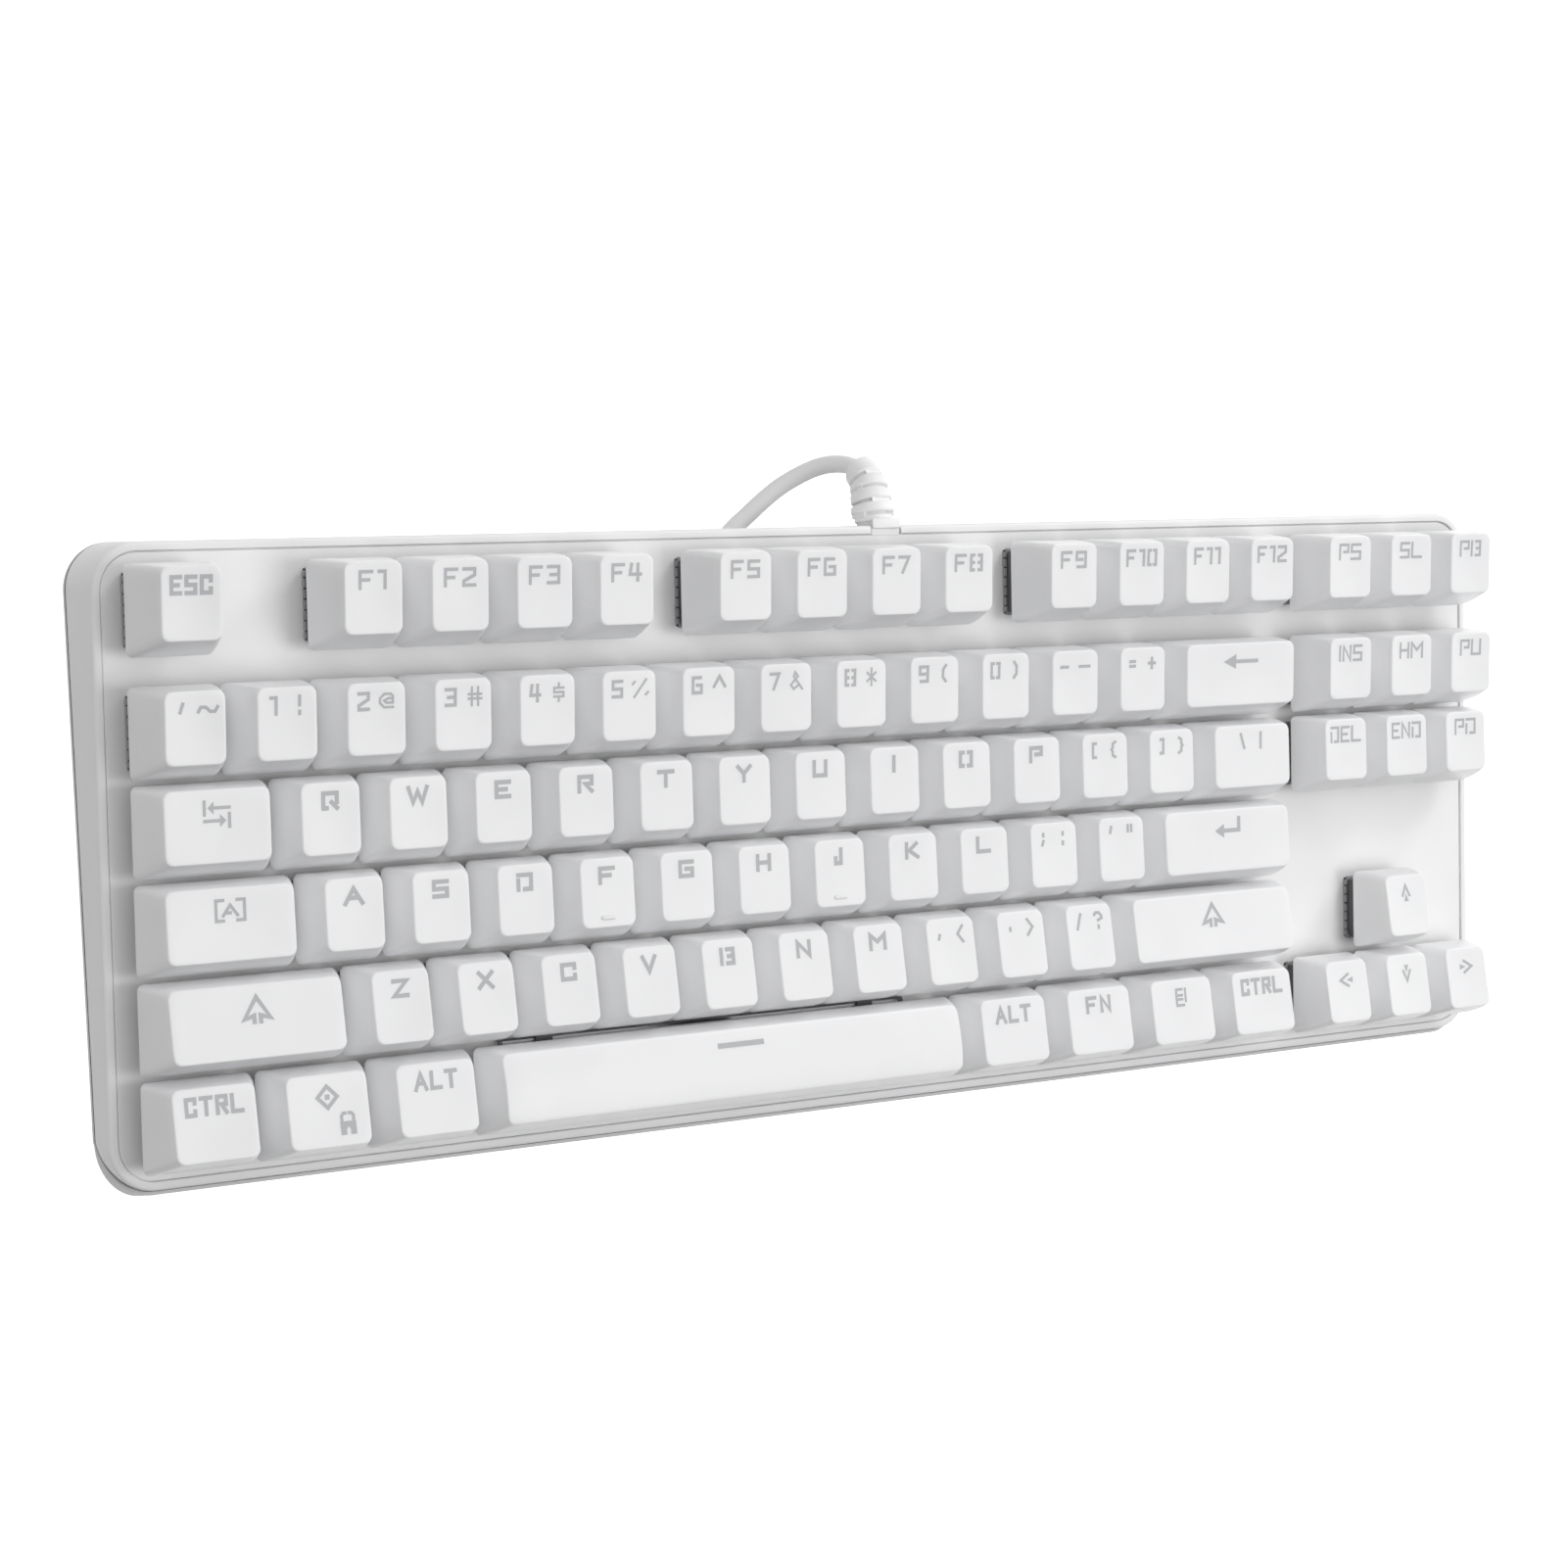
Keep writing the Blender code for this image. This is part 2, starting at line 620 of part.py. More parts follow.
def make_flip_foot(side, name, material):
    """A foot standing open: a leg from its hinge pins to a flat tip on the table."""
    hinge = to_world(*(hinge_frame(side) @ Vector((0, 0, HINGE_RISE))))
    along = Vector((math.sin(FOOT_LEAN), -math.cos(FOOT_LEAN)))
    across = Vector((math.cos(FOOT_LEAN), math.sin(FOOT_LEAN)))
    profile = []
    for i in range(7):
        angle = math.pi * i / 6
        profile.append(KNUCKLE_RADIUS * (across * math.cos(angle) - along * math.sin(angle)))
    for edge in (-1, 1):
        shoulder = across * edge * FOOT_TIP_HALF_THICKNESS
        profile.append(shoulder + along * (hinge.z + shoulder.y) / -along.y)
    shape = bmesh.new()
    add_loft(shape, [[(x, y, z) for y, z in profile] for x in (-FOOT_HALF_WIDTH, FOOT_HALF_WIDTH)])
    foot = make_object(f"flip_foot_{name}", shape, material, None, hinge)
    pin = bmesh.new()
    add_pin(pin, PIN_REACH, 0, 0, PIN_RADIUS)
    combine(foot, make_helper(f"foot_pin_{name}", pin, None, hinge), "UNION")


def make_front_pad(side, name, material):
    """A rubber pad whose lower face is flat on the table."""
    front = to_world(0, PAD_FRONT, base_height(PAD_FRONT) - FIT_GAP)
    rear = to_world(0, PAD_REAR, base_height(PAD_REAR) - FIT_GAP)
    profile = [(front.y, 0), (rear.y, 0), (rear.y, rear.z), (front.y, front.z)]
    ends = (side * PAD_X - PAD_HALF_LENGTH, side * PAD_X + PAD_HALF_LENGTH)
    shape = bmesh.new()
    add_loft(shape, [[(x, y, z) for y, z in profile] for x in ends])
    make_object(f"front_pad_{name}", shape, material)


def make_cable_clip(plane, material):
    """The retainer in the rim's notch; its lip covers the root of the strain relief."""
    inner, outer, lip = HALF_DEPTH - RIM_WIDTH, HALF_DEPTH - 0.1 * MM, HALF_DEPTH + 1.6 * MM
    top, under_lip, bottom = RIM_TOP + 0.35 * MM, RIM_TOP - 0.2 * MM, -1.3 * MM
    profile = [(inner, bottom), (outer, bottom), (outer, under_lip), (lip, under_lip), (lip, top), (inner, top)]
    shape = bmesh.new()
    ends = (OUTLET_X - CLIP_HALF_WIDTH, OUTLET_X + CLIP_HALF_WIDTH)
    add_loft(shape, [[(x, y, z) for y, z in profile] for x in ends])
    make_object("cable_clip", shape, material, plane)


def smooth_route(points, step):
    """Points about a step apart on a Catmull-Rom curve through the given ones."""
    route = [Vector(point) for point in points]
    route = [2 * route[0] - route[1], *route, 2 * route[-1] - route[-2]]
    fine = []
    for a, b, c, d in zip(route, route[1:], route[2:], route[3:]):
        for i in range(20):
            t = i / 20
            fine.append(
                0.5 * (2 * b + (c - a) * t + (2 * a - 5 * b + 4 * c - d) * t**2 + (3 * b - 3 * c + d - a) * t**3)
            )
    fine.append(route[-2])
    lengths = [0.0]
    for a, b in zip(fine, fine[1:]):
        lengths.append(lengths[-1] + (b - a).length)
    count = max(2, round(lengths[-1] / step))
    picked, index = [], 0
    for i in range(count + 1):
        wanted = lengths[-1] * i / count
        while index < len(lengths) - 2 and lengths[index + 1] < wanted:
            index += 1
        share = (wanted - lengths[index]) / (lengths[index + 1] - lengths[index])
        picked.append(fine[index].lerp(fine[index + 1], share))
    return picked


def circle_section(centre, direction, radius, sides=10):
    """A circle of points about a centre, square to a direction."""
    side = direction.cross(Vector((0, 0, 1))).normalized()
    up = side.cross(direction).normalized()
    angles = [2 * math.pi * i / sides for i in range(sides)]
    return [centre + radius * (side * math.cos(a) + up * math.sin(a)) for a in angles]


def make_strain_relief(material):
    """A flange and neck inside the wall, then a tapered sleeve that bends with the cable."""
    inside = (to_world(0, 1, 0) - to_world(0, 0, 0)).normalized()
    root = to_world(OUTLET_X, HALF_DEPTH, OUTLET_Z)
    sections = [(-4.4, 2.8), (-3.0, 2.8), (-3.0, 2.3), (0.3, 2.3)]
    loops = [circle_section(root + inside * at * MM, inside, radius * MM) for at, radius in sections]
    sleeve = [p for p in smooth_route(CABLE_ROUTE, 1 * MM) if (p - Vector(CABLE_ROUTE[0])).length > 0.4 * MM]
    count = round(RELIEF_LENGTH / MM)
    for i in (0, 2, 3, *range(4, count, 2)):
        radius = RELIEF_BASE_RADIUS + (RELIEF_END_RADIUS - RELIEF_BASE_RADIUS) * i / count
        radius = RELIEF_NECK_RADIUS if i <= 2 else radius
        loops.append(circle_section(sleeve[i], sleeve[i + 1] - sleeve[i], radius))
    shape = bmesh.new()
    add_loft(shape, loops)
    make_object("strain_relief", shape, material)


def make_usb_cable(material):
    fine = smooth_route(CABLE_ROUTE, 1 * MM)
    free = fine[round(RELIEF_LENGTH / MM) :]
    make_tube("usb_cable", smooth_route(free, CABLE_STEP), CABLE_RADIUS, 2, material)


def stadium(radius, steps=8):
    """Points round a hank at a radius from the line of its end centres."""
    points = []
    for side in (1, -1):
        for i in range(steps + 1):
            angle = math.pi * (i / steps - 0.5) + (0 if side > 0 else math.pi)
            x = HANK_CENTRE[0] + side * HANK_HALF_RUN + radius * math.cos(angle)
            points.append((x, HANK_CENTRE[1] + radius * math.sin(angle)))
    return points


def make_cable_coil(material):
    shape = bmesh.new()
    outer, inner = stadium(HANK_OUTER_RADIUS), stadium(HANK_INNER_RADIUS)
    loops = [
        [(x, y, HANK_BOTTOM) for x, y in outer],
        [(x, y, HANK_TOP) for x, y in outer],
        [(x, y, HANK_TOP) for x, y in inner],
        [(x, y, HANK_BOTTOM) for x, y in inner],
    ]
    add_loft(shape, loops, ring=True)
    make_object("cable_coil", shape, material)


def rectangle_yz(x, y_low, y_high, z_low, z_high):
    return [(x, y_low, z_low), (x, y_high, z_low), (x, y_high, z_high), (x, y_low, z_high)]


def make_cable_tie(material):
    """A strap round the rear run of the hank."""
    y_low, y_high = HANK_CENTRE[1] + HANK_INNER_RADIUS, HANK_CENTRE[1] + HANK_OUTER_RADIUS
    left, right = HANK_CENTRE[0] - TIE_HALF_WIDTH, HANK_CENTRE[0] + TIE_HALF_WIDTH
    reaches = (FIT_GAP + TIE_THICKNESS, FIT_GAP + TIE_THICKNESS, FIT_GAP, FIT_GAP)
    loops = []
    for x, reach in zip((left, right, right, left), reaches):
        loops.append(rectangle_yz(x, y_low - reach, y_high + reach, HANK_BOTTOM - reach, HANK_TOP + reach))
    shape = bmesh.new()
    add_loft(shape, loops, ring=True)
    make_object("cable_tie", shape, material)


def plug_section(x, y, z, width, height, corner):
    return [(x, y + a, z + b) for a, b in rounded_rectangle(width / 2, height / 2, corner, 3)]


def make_usb_plug(grip_material, shell_material):
    y, z = PLUG_AXIS
    loops = [plug_section(x, ty, tz, 2 * r, 2 * r, 0.95 * r) for x, ty, tz, r in PLUG_TAIL]
    for x, share in ((GRIP_START, 0.8), (GRIP_START + 2 * MM, 1), (GRIP_END - 1 * MM, 1), (GRIP_END, 0.9)):
        loops.append(plug_section(x, y, z, share * GRIP_WIDTH, share * GRIP_HEIGHT, share * GRIP_CORNER))
    grip = bmesh.new()
    add_loft(grip, loops)
    make_object("usb_plug_grip", grip, grip_material)

    start = GRIP_END + FIT_GAP
    end = start + SHELL_LENGTH
    loops = []
    for x, wall in ((start, 0), (end, 0), (end, SHELL_WALL), (end - SHELL_MOUTH_DEPTH, SHELL_WALL)):
        half_width, half_height = SHELL_WIDTH / 2 - wall, SHELL_HEIGHT / 2 - wall
        loops.append(rectangle_yz(x, y - half_width, y + half_width, z - half_height, z + half_height))
    shell = bmesh.new()
    add_loft(shell, loops)
    make_object("usb_plug_shell", shell, shell_material)


def main():
    clear_scene()
    materials = make_materials()
    plane = make_key_plane()
    make_top_frame(plane, materials["case"])
    make_bottom_tray(plane, materials["case"])
    make_switch_plate(plane, materials["plate"])
    make_circuit_board(plane, materials["board"])
    make_switch_housings(plane, materials["housing"])
    make_keys(plane, materials["cap"])
    make_space_stabiliser(plane, materials["steel"])
    for side, name in ((-1, "left"), (1, "right")):
        make_flip_foot(side, name, materials["case"])
        make_front_pad(side, name, materials["rubber"])
    make_cable_clip(plane, materials["case"])
    make_strain_relief(materials["cable"])
    make_usb_cable(materials["cable"])
    make_cable_coil(materials["cable"])
    make_cable_tie(materials["tie"])
    make_usb_plug(materials["cable"], materials["steel"])


main()
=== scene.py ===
"""Looks of a compact white mechanical keyboard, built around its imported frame. Units are metres."""

import json
import math

import bmesh
import bpy
from mathutils import Matrix, Vector


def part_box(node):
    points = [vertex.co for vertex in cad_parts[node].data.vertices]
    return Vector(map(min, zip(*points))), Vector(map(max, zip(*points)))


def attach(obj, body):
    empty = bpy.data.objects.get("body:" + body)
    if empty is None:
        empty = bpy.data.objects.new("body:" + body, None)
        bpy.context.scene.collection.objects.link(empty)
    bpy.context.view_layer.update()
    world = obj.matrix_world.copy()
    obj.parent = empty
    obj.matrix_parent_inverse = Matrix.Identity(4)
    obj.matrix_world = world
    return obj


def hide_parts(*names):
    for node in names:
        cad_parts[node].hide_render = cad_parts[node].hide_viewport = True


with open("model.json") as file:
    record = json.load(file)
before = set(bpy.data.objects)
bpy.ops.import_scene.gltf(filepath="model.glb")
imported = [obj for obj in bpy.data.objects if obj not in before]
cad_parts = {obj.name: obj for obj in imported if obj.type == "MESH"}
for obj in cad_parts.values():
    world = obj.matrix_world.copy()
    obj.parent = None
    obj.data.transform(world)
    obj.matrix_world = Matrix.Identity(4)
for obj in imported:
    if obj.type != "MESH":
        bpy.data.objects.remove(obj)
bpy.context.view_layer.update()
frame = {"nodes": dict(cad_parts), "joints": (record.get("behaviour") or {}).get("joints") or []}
MM = 0.001


def metres(rows):
    """Rows of millimetres as tuples of metres."""
    return [tuple(value * MM for value in row) for row in rows]



# Key plane: the plate's upper face. Its tilt is the keys' travel direction.
PRESS = Vector(next(joint["axis"] for joint in frame["joints"] if joint["type"] == "slide"))
PLANE_TILT = math.atan2(PRESS.y, -PRESS.z)
PLANE_HEIGHT = 22.5 * MM
PLANE_SHIFT = -0.7 * MM
PLANE = Matrix.Translation((0, PLANE_SHIFT, PLANE_HEIGHT)) @ Matrix.Rotation(PLANE_TILT, 4, "X")

# Key grid and cap profile, as in the frame.
KEY_PITCH = 19.05 * MM
KEY_SPACING = 0.95 * MM
FUNCTION_ROW_GAP = 4.55 * MM
FIELD_WIDTH = 18.25 * KEY_PITCH
FIELD_DEPTH = 6 * KEY_PITCH + FUNCTION_ROW_GAP
SKIRT_HEIGHT = 5.3 * MM
SPACE_SKIRT_HEIGHT = 6.6 * MM
# Heights of each row's top over the plane, at its rear and front edges.
ROW_TOP_HEIGHTS = metres([(17.0, 16.5), (16.8, 16.4), (14.6, 14.9), (13.9, 14.7), (13.6, 16.0), (13.7, 16.1)])
TOP_SIDE_INSET = 2.85 * MM
TOP_REAR_INSET = 0.75 * MM
TOP_FRONT_INSET = 3.2 * MM
CAP_WALL = 1.3 * MM
CAP_ROOF = 1.9 * MM
SKIRT_RADIUS = 1.3 * MM
TOP_RADIUS = 1.7 * MM
EDGE_RADIUS = 0.4 * MM
WALL_BULGE = 0.2 * MM
DISH_DEPTH = 0.45 * MM
SPACE_CROWN = 0.7 * MM

# Case, as in the frame.
SIDE_MARGIN = 4.1 * MM
END_MARGIN = 3.65 * MM
HALF_WIDTH = FIELD_WIDTH / 2 + SIDE_MARGIN
HALF_DEPTH = FIELD_DEPTH / 2 + END_MARGIN
CORNER_RADIUS = 9.5 * MM
RIM_TOP = 0.4 * MM
RIM_WIDTH = 1.85 * MM
RIM_FILLET = 0.8 * MM
RIM_CHAMFER = 0.15 * MM
WEDGE = math.radians(3.0)
WALL_BOTTOM_AT_FRONT = -6.4 * MM
FRONT_SEAM = -1.4 * MM
FRONT_LIP = 2.1 * MM
LIP_REACH = 1.3 * MM
BELT_DROP = 0.8 * MM
TRAY_DROP = 5.5 * MM
TRAY_INSET = 7.0 * MM
BELLY_BULGE = 0.35 * MM
TRAY_WALL = 2.2 * MM
TRAY_FLOOR = 2.0 * MM
PLATE_THICKNESS = 1.5 * MM
HINGE_X = 150 * MM
HINGE_Y = 46 * MM
FIT_GAP = 0.3 * MM
CORNER_STEPS = 14

# Cable, in world coordinates: its free stretch, then a hank of six turns in two layers.
CABLE_DIAMETER = 4.0 * MM
CABLE_ROUTE = metres([
    (6.3, 62.4, 28.6), (6.3, 65.6, 28.8), (6.4, 68.7, 28.5), (6.7, 72.0, 27.4), (6.8, 75.0, 24.9),
    (6.1, 77.1, 21.3), (4.6, 78.0, 17.7), (2.8, 78.0, 14.6), (0.9, 77.3, 11.9), (-1.2, 76.2, 9.6),
    (-3.5, 74.8, 7.7), (-5.7, 73.1, 6.1), (-8.0, 71.2, 4.8), (-10.3, 69.2, 3.7), (-12.9, 67.2, 3.0),
    (-16.2, 64.5, 2.7), (-20.1, 62.0, 2.7), (-24.5, 60.4, 2.8), (-29.0, 59.8, 2.9), (-31.0, 59.7, 3.0),
])
HANK_CENTRE = (-78.2 * MM, 39.5 * MM)
HANK_HALF_RUN = 34 * MM
HANK_RADII = (20.2 * MM, 16.1 * MM, 12.0 * MM)
HANK_LAYERS = (2.97 * MM, 7.05 * MM)
PLUG_TAIL = metres([(-30.2, 19.3, 6.95), (-24.0, 19.5, 6.1), (-17.0, 20.1, 4.8), (-10.0, 20.8, 4.0)])
OUTLET_X = 6.3 * MM

# Camera: level with the key field's middle, well to the left, and rolled with the keyboard's rear edge.
CAMERA_PLACE = (-0.43459, -0.04313, 0.66578)
CAMERA_RIGHT = (0.83967, -0.10941, 0.53196)
CAMERA_FORWARD = (0.54011, 0.06569, -0.83903)
CAMERA_LENS = 81.52

# Tones of the sky from straight down to straight up, and how they fall off towards the front.
SKY_BY_HEIGHT = [(0.0, 0.3), (0.48, 0.3), (0.54, 0.34), (0.75, 0.5), (1.0, 0.74)]
SKY_BY_DEPTH = [(0.0, 0.0), (0.22, 0.0), (0.34, 1.2), (0.44, 1.7), (0.52, 1.1), (0.75, 1.2), (1.0, 0.95)]

# Node, row from the rear, start in pitches and legends. A cap wider than one pitch is (width, legend).
KEY_NODES = [
    ("key_escape", 0, 0, ["ESC"]),
    ("keys_f1_to_f4", 0, 2, ["F1", "F2", "F3", "F4"]),
    ("keys_f5_to_f8", 0, 6.5, ["F5", "F6", "F7", "F8"]),
    ("keys_f9_to_f12", 0, 11, ["F9", "F10", "F11", "F12"]),
    ("keys_print_to_pause", 0, 15.25, ["PS", "SL", "PB"]),
    ("keys_grave_to_6", 1, 0, ["` ~", "1 !", "2 @", "3 #", "4 $", "5 %", "6 ^"]),
    ("keys_7_to_equals", 1, 7, ["7 &", "8 *", "9 (", "0 )", "- _", "= +"]),
    ("key_backspace", 1, 13, [(2, "backspace")]),
    ("keys_insert_to_page_up", 1, 15.25, ["INS", "HM", "PU"]),
    ("key_tab", 2, 0, [(1.5, "tab")]),
    ("keys_q_to_t", 2, 1.5, "QWERT"),
    ("keys_y_to_p", 2, 6.5, "YUIOP"),
    ("keys_brackets", 2, 11.5, ["[ {", "] }", (1.5, "\\ |")]),
    ("keys_delete_to_page_down", 2, 15.25, ["DEL", "END", "PD"]),
    ("key_caps_lock", 3, 0, [(1.75, "caps")]),
    *((f"key_{letter.lower()}", 3, 1.75 + i, letter) for i, letter in enumerate("ASDFGHJKL")),
    ("keys_semicolon_quote", 3, 10.75, ["; :", "' \""]),
    ("key_enter", 3, 12.75, [(2.25, "enter")]),
    ("key_left_shift", 4, 0, [(2.25, "shift")]),
    ("keys_z_to_b", 4, 2.25, "ZXCVB"),
    ("keys_n_to_m", 4, 7.25, "NM"),
    ("keys_comma_to_slash", 4, 9.25, [", <", ". >", "/ ?"]),
    ("key_right_shift", 4, 12.25, [(2.75, "shift")]),
    ("key_up", 4, 16.25, ["up"]),
    ("key_left_ctrl", 5, 0, [(1.25, "CTRL")]),
    ("key_system", 5, 1.25, [(1.25, "system")]),
    ("key_left_alt", 5, 2.5, [(1.25, "ALT")]),
    ("key_space", 5, 3.75, [(6.25, "space")]),
    ("key_right_alt", 5, 10, [(1.25, "ALT")]),
    ("key_fn", 5, 11.25, [(1.25, "FN")]),
    ("key_menu", 5, 12.5, [(1.25, "menu")]),
    ("key_right_ctrl", 5, 13.75, [(1.25, "CTRL")]),
    *((f"key_{way}", 5, 15.25 + i, [way]) for i, way in enumerate(("left", "down", "right"))),
]

# Strokes of each sign on an 8 by 8 grid: points are "xy", strokes are parted by "|" and "=" fills one.
SIGNS = {
    "A": "00 48 80|23 53", "B": "00 08|48 88 80 40|54 84", "C": "86 88 08 00 80 82",
    "D": "00 05|08 88 80 40", "E": "88 08 00 80|04 64", "F": "00 08 88|04 64", "G": "88 08 00 80 84 44",
    "H": "00 08|80 88|04 84", "I": "40 48", "J": "68 60 10 13", "K": "00 08|78 24 80", "L": "08 00 80",
    "M": "00 08 44 88 80", "N": "00 08 80 88", "O": "28 08 00 20|68 88 80 60", "P": "00 08 88 84 44",
    "Q": "20 00 08 88 83|53 80", "R": "00 08 88 84 44 80", "S": "88 08 04 84 80 00", "T": "08 88|40 48",
    "U": "08 00 80 88", "V": "08 40 88", "W": "08 20 46 60 88", "X": "00 88|08 80", "Y": "08 44 88|40 44",
    "Z": "08 88 00 80", "0": "28 08 00 20|68 88 80 60", "1": "08 78 70", "2": "08 88 85 02 00 80",
    "3": "08 88 80 00|24 84", "4": "18 03 83|68 60", "5": "88 08 04 84 80 00", "6": "78 08 00 80 84 44",
    "7": "08 88 30", "8": "28 08 00 20|04 24|68 88 80 60|64 84", "9": "10 80 88 08 04 54", "`": "33 57",
    "~": "03 15 35 53 73 85", "!": "48 44|41 40", "@": "65 45 24 33 63 66 57 27 05 03 21 61",
    "#": "20 28|60 68|05 85|03 83", "$": "76 16 14 74 72 12|48 46|42 40", "%": "10 78|06 17|71 82",
    "^": "03 48 83", "&": "80 26 38 56 02 20 62", "*": "48 40|16 72|12 76", "(": "58 36 32 50",
    ")": "38 56 52 30", "-": "04 74", "_": "04 84", "=": "06 76|02 72", "+": "04 84|48 40",
    "[": "58 28 20 50", "]": "38 68 60 30", "{": "58 37 35 24 33 31 50", "}": "38 57 55 64 53 51 30",
    "\\": "28 60", "|": "48 40", ";": "46 47|43 31", ":": "46 47|41 42", "'": "48 35", '"': "28 25|58 55",
    ",": "44 32", "<": "68 24 60", ".": "43 44", ">": "28 64 20", "/": "20 68",
    "?": "17 28 58 76 75 44|40 41", "backspace": "=04 38 30|34 84",
    "tab": "04 08|=16 38 34|36 86|80 84|=72 54 50|02 52", "caps": "28 08 00 20|68 88 80 60|22 46 62|33 43",
    "enter": "=03 36 30|33 83 88", "shift": "30 32 01 48 81 52 50", "system": "40 84 48 04 40|=35 55 53 33",
    "lock": "=00 05 85 80 50 52 43 32 30|15 17 28 38|58 68 77 75", "menu": "60 00 08 58|88 82|25 55|23 53",
    "space": "04 84", "up": "13 48 73|=20 44 60", "down": "15 40 75|=28 44 68",
    "left": "50 04 58|=82 44 86", "right": "30 84 38|=02 44 06",
}

# Width, height, stroke and distance below the cap's rear edge of a sign that isn't a letter, in millimetres.
ICON_SIZES = {
    "backspace": (10.6, 4.2, 0.85, 2.1), "tab": (5.8, 5.6, 0.65, 2.0),
    "caps": (6.6, 4.6, 0.65, 2.1), "enter": (8.0, 5.2, 0.95, 1.8),
    "shift": (6.4, 5.6, 0.9, 2.1), "system": (5.0, 5.0, 0.8, 2.0),
    "menu": (3.2, 4.2, 0.6, 2.0), "space": (11.4, 0.0, 1.1, 2.6),
    "up": (3.4, 4.4, 0.65, 2.2), "down": (3.4, 4.4, 0.65, 2.2),
    "left": (4.4, 3.4, 0.65, 2.8), "right": (4.4, 3.4, 0.65, 2.8),
}
LETTER_SIZE = (3.8, 3.8, 0.9, 1.7)
DIGIT_SIZE = (2.8, 3.8, 0.7, 1.7)
SYMBOL_SIZE = (3.2, 4.0, 0.65, 1.6)
WORD_SIZE = (2.65, 3.9, 0.84, 1.6)
FUNCTION_SIZE = (2.7, 3.9, 0.7, 1.6)
NAVIGATION_SIZE = (2.8, 3.9, 0.62, 1.6)
PAIR_STRETCH = 1.14
EQUALS_SIZE = (2.2, 2.8, 0.7, 2.2)
# Widths of the signs that are wider or narrower than the rest, as shares of the usual width.
SIGN_SHARES = {"I": 0.27, "M": 1.2, "W": 1.3, "J": 0.8, "L": 1.05, "A": 1.2, "T": 1.1, "F": 1.05}
SIGN_SHARES.update({"1": 0.7, "8": 1.1, "@": 1.3, "~": 1.4, "%": 1.25})
SHARPEST_MITRE = 0.45
THIN_SIGNS = "@#$%&*"
THIN_STROKE = 0.5
PAIR_OFFSET = 2.7 * MM
WORD_GAP = 0.45 * MM
NUMBER_GAP = 0.9 * MM
LEGEND_DEPTH = 0.15 * MM
LEGEND_RISE = 0.015 * MM


# Shape helpers.


def loft(shape, loops, ring=False, material=0):
    """Joins loops of equal length one after another; a ring joins the last to the first."""
    rows = [[shape.verts.new(point) for point in loop] for loop in loops]
    following = rows[1:] + rows[:1] if ring else rows[1:]
    count = len(rows[0])
    made = []
    for low, high in zip(rows, following):
        for i in range(count):
            j = (i + 1) % count
            made.append(shape.faces.new((low[i], low[j], high[j], high[i])))
    if not ring:
        made.append(shape.faces.new(rows[0][::-1]))
        made.append(shape.faces.new(rows[-1]))
    for face in made:
        face.material_index = material


def box(shape, low, high, material=0, at=(0, 0, 0)):
    """A box between two corners, which are millimetres from a place."""
    x0, y0, z0 = (base + value * MM for base, value in zip(at, low))
    x1, y1, z1 = (base + value * MM for base, value in zip(at, high))
    loft(shape, [[(x0, y0, z), (x1, y0, z), (x1, y1, z), (x0, y1, z)] for z in (z0, z1)], material=material)


def rounded_points(x_low, x_high, y_low, y_high, radius, steps, along_x=1, along_y=1):
    """A rounded rectangle's points anticlockwise, with its straight sides cut in equal parts."""
    arcs = []
    centres = [(x_high, y_low, 1, -1), (x_high, y_high, 1, 1), (x_low, y_high, -1, 1), (x_low, y_low, -1, -1)]
    for quarter, (x, y, sx, sy) in enumerate(centres):
        angles = [math.radians(90 * (quarter - 1 + i / steps)) for i in range(steps + 1)]
        x, y = x - sx * radius, y - sy * radius
        arcs.append([(x + radius * math.cos(a), y + radius * math.sin(a)) for a in angles])
    points = []
    for quarter, arc in enumerate(arcs):
        points += arc
        (ax, ay), (bx, by) = arc[-1], arcs[(quarter + 1) % 4][0]
        parts = along_y if quarter % 2 == 0 else along_x
        points += [(ax + (bx - ax) * i / parts, ay + (by - ay) * i / parts) for i in range(1, parts)]
    return points


def round_points(radius, sides):
    angles = [2 * math.pi * i / sides for i in range(sides)]
    return [(radius * math.cos(angle), radius * math.sin(angle)) for angle in angles]


def level(inset, height, lip=0.0):
    """The case's outline at a height that may depend on the depth y, pushed out along the front by a lip."""
    x, y = HALF_WIDTH - inset, HALF_DEPTH - inset
    points = rounded_points(-x, x, -y, y, CORNER_RADIUS - inset, CORNER_STEPS, 24, 8)
    return [(x, y - lip * front_share(y), height(y) if callable(height) else height) for x, y in points]


def new_object(name, data):
    obj = bpy.data.objects.new(name, data)
    bpy.context.scene.collection.objects.link(obj)
    return obj


def finished(name, shape, surfaces, place=None, smooth_angle=40):
    """A mesh object from a bmesh moved to its place, in the named materials."""
    bmesh.ops.recalc_face_normals(shape, faces=shape.faces)
    if place:
        shape.transform(place)
    mesh = bpy.data.meshes.new(name)
    shape.to_mesh(mesh)
    shape.free()
    for surface in surfaces.split():
        mesh.materials.append(MATERIALS[surface])
    mesh.shade_smooth()
    mesh.set_sharp_from_angle(angle=math.radians(smooth_angle))
    return new_object(name, mesh)


def carve(obj, shape, place=None, operation="DIFFERENCE", smooth_angle=40):
    """Cuts a bmesh out of an object for good, or joins it on."""
    tool = finished("tool", shape, "", place)
    modifier = obj.modifiers.new("carve", "BOOLEAN")
    modifier.operation = operation
    modifier.solver = "MANIFOLD"
    modifier.object = tool
    bpy.context.view_layer.update()
    evaluated = obj.evaluated_get(bpy.context.evaluated_depsgraph_get())
    made = bpy.data.meshes.new_from_object(evaluated)
    made.shade_smooth()
    made.set_sharp_from_angle(angle=math.radians(smooth_angle))
    obj.modifiers.clear()
    old = obj.data
    obj.data = made
    bpy.data.meshes.remove(old)
    bpy.data.objects.remove(tool)


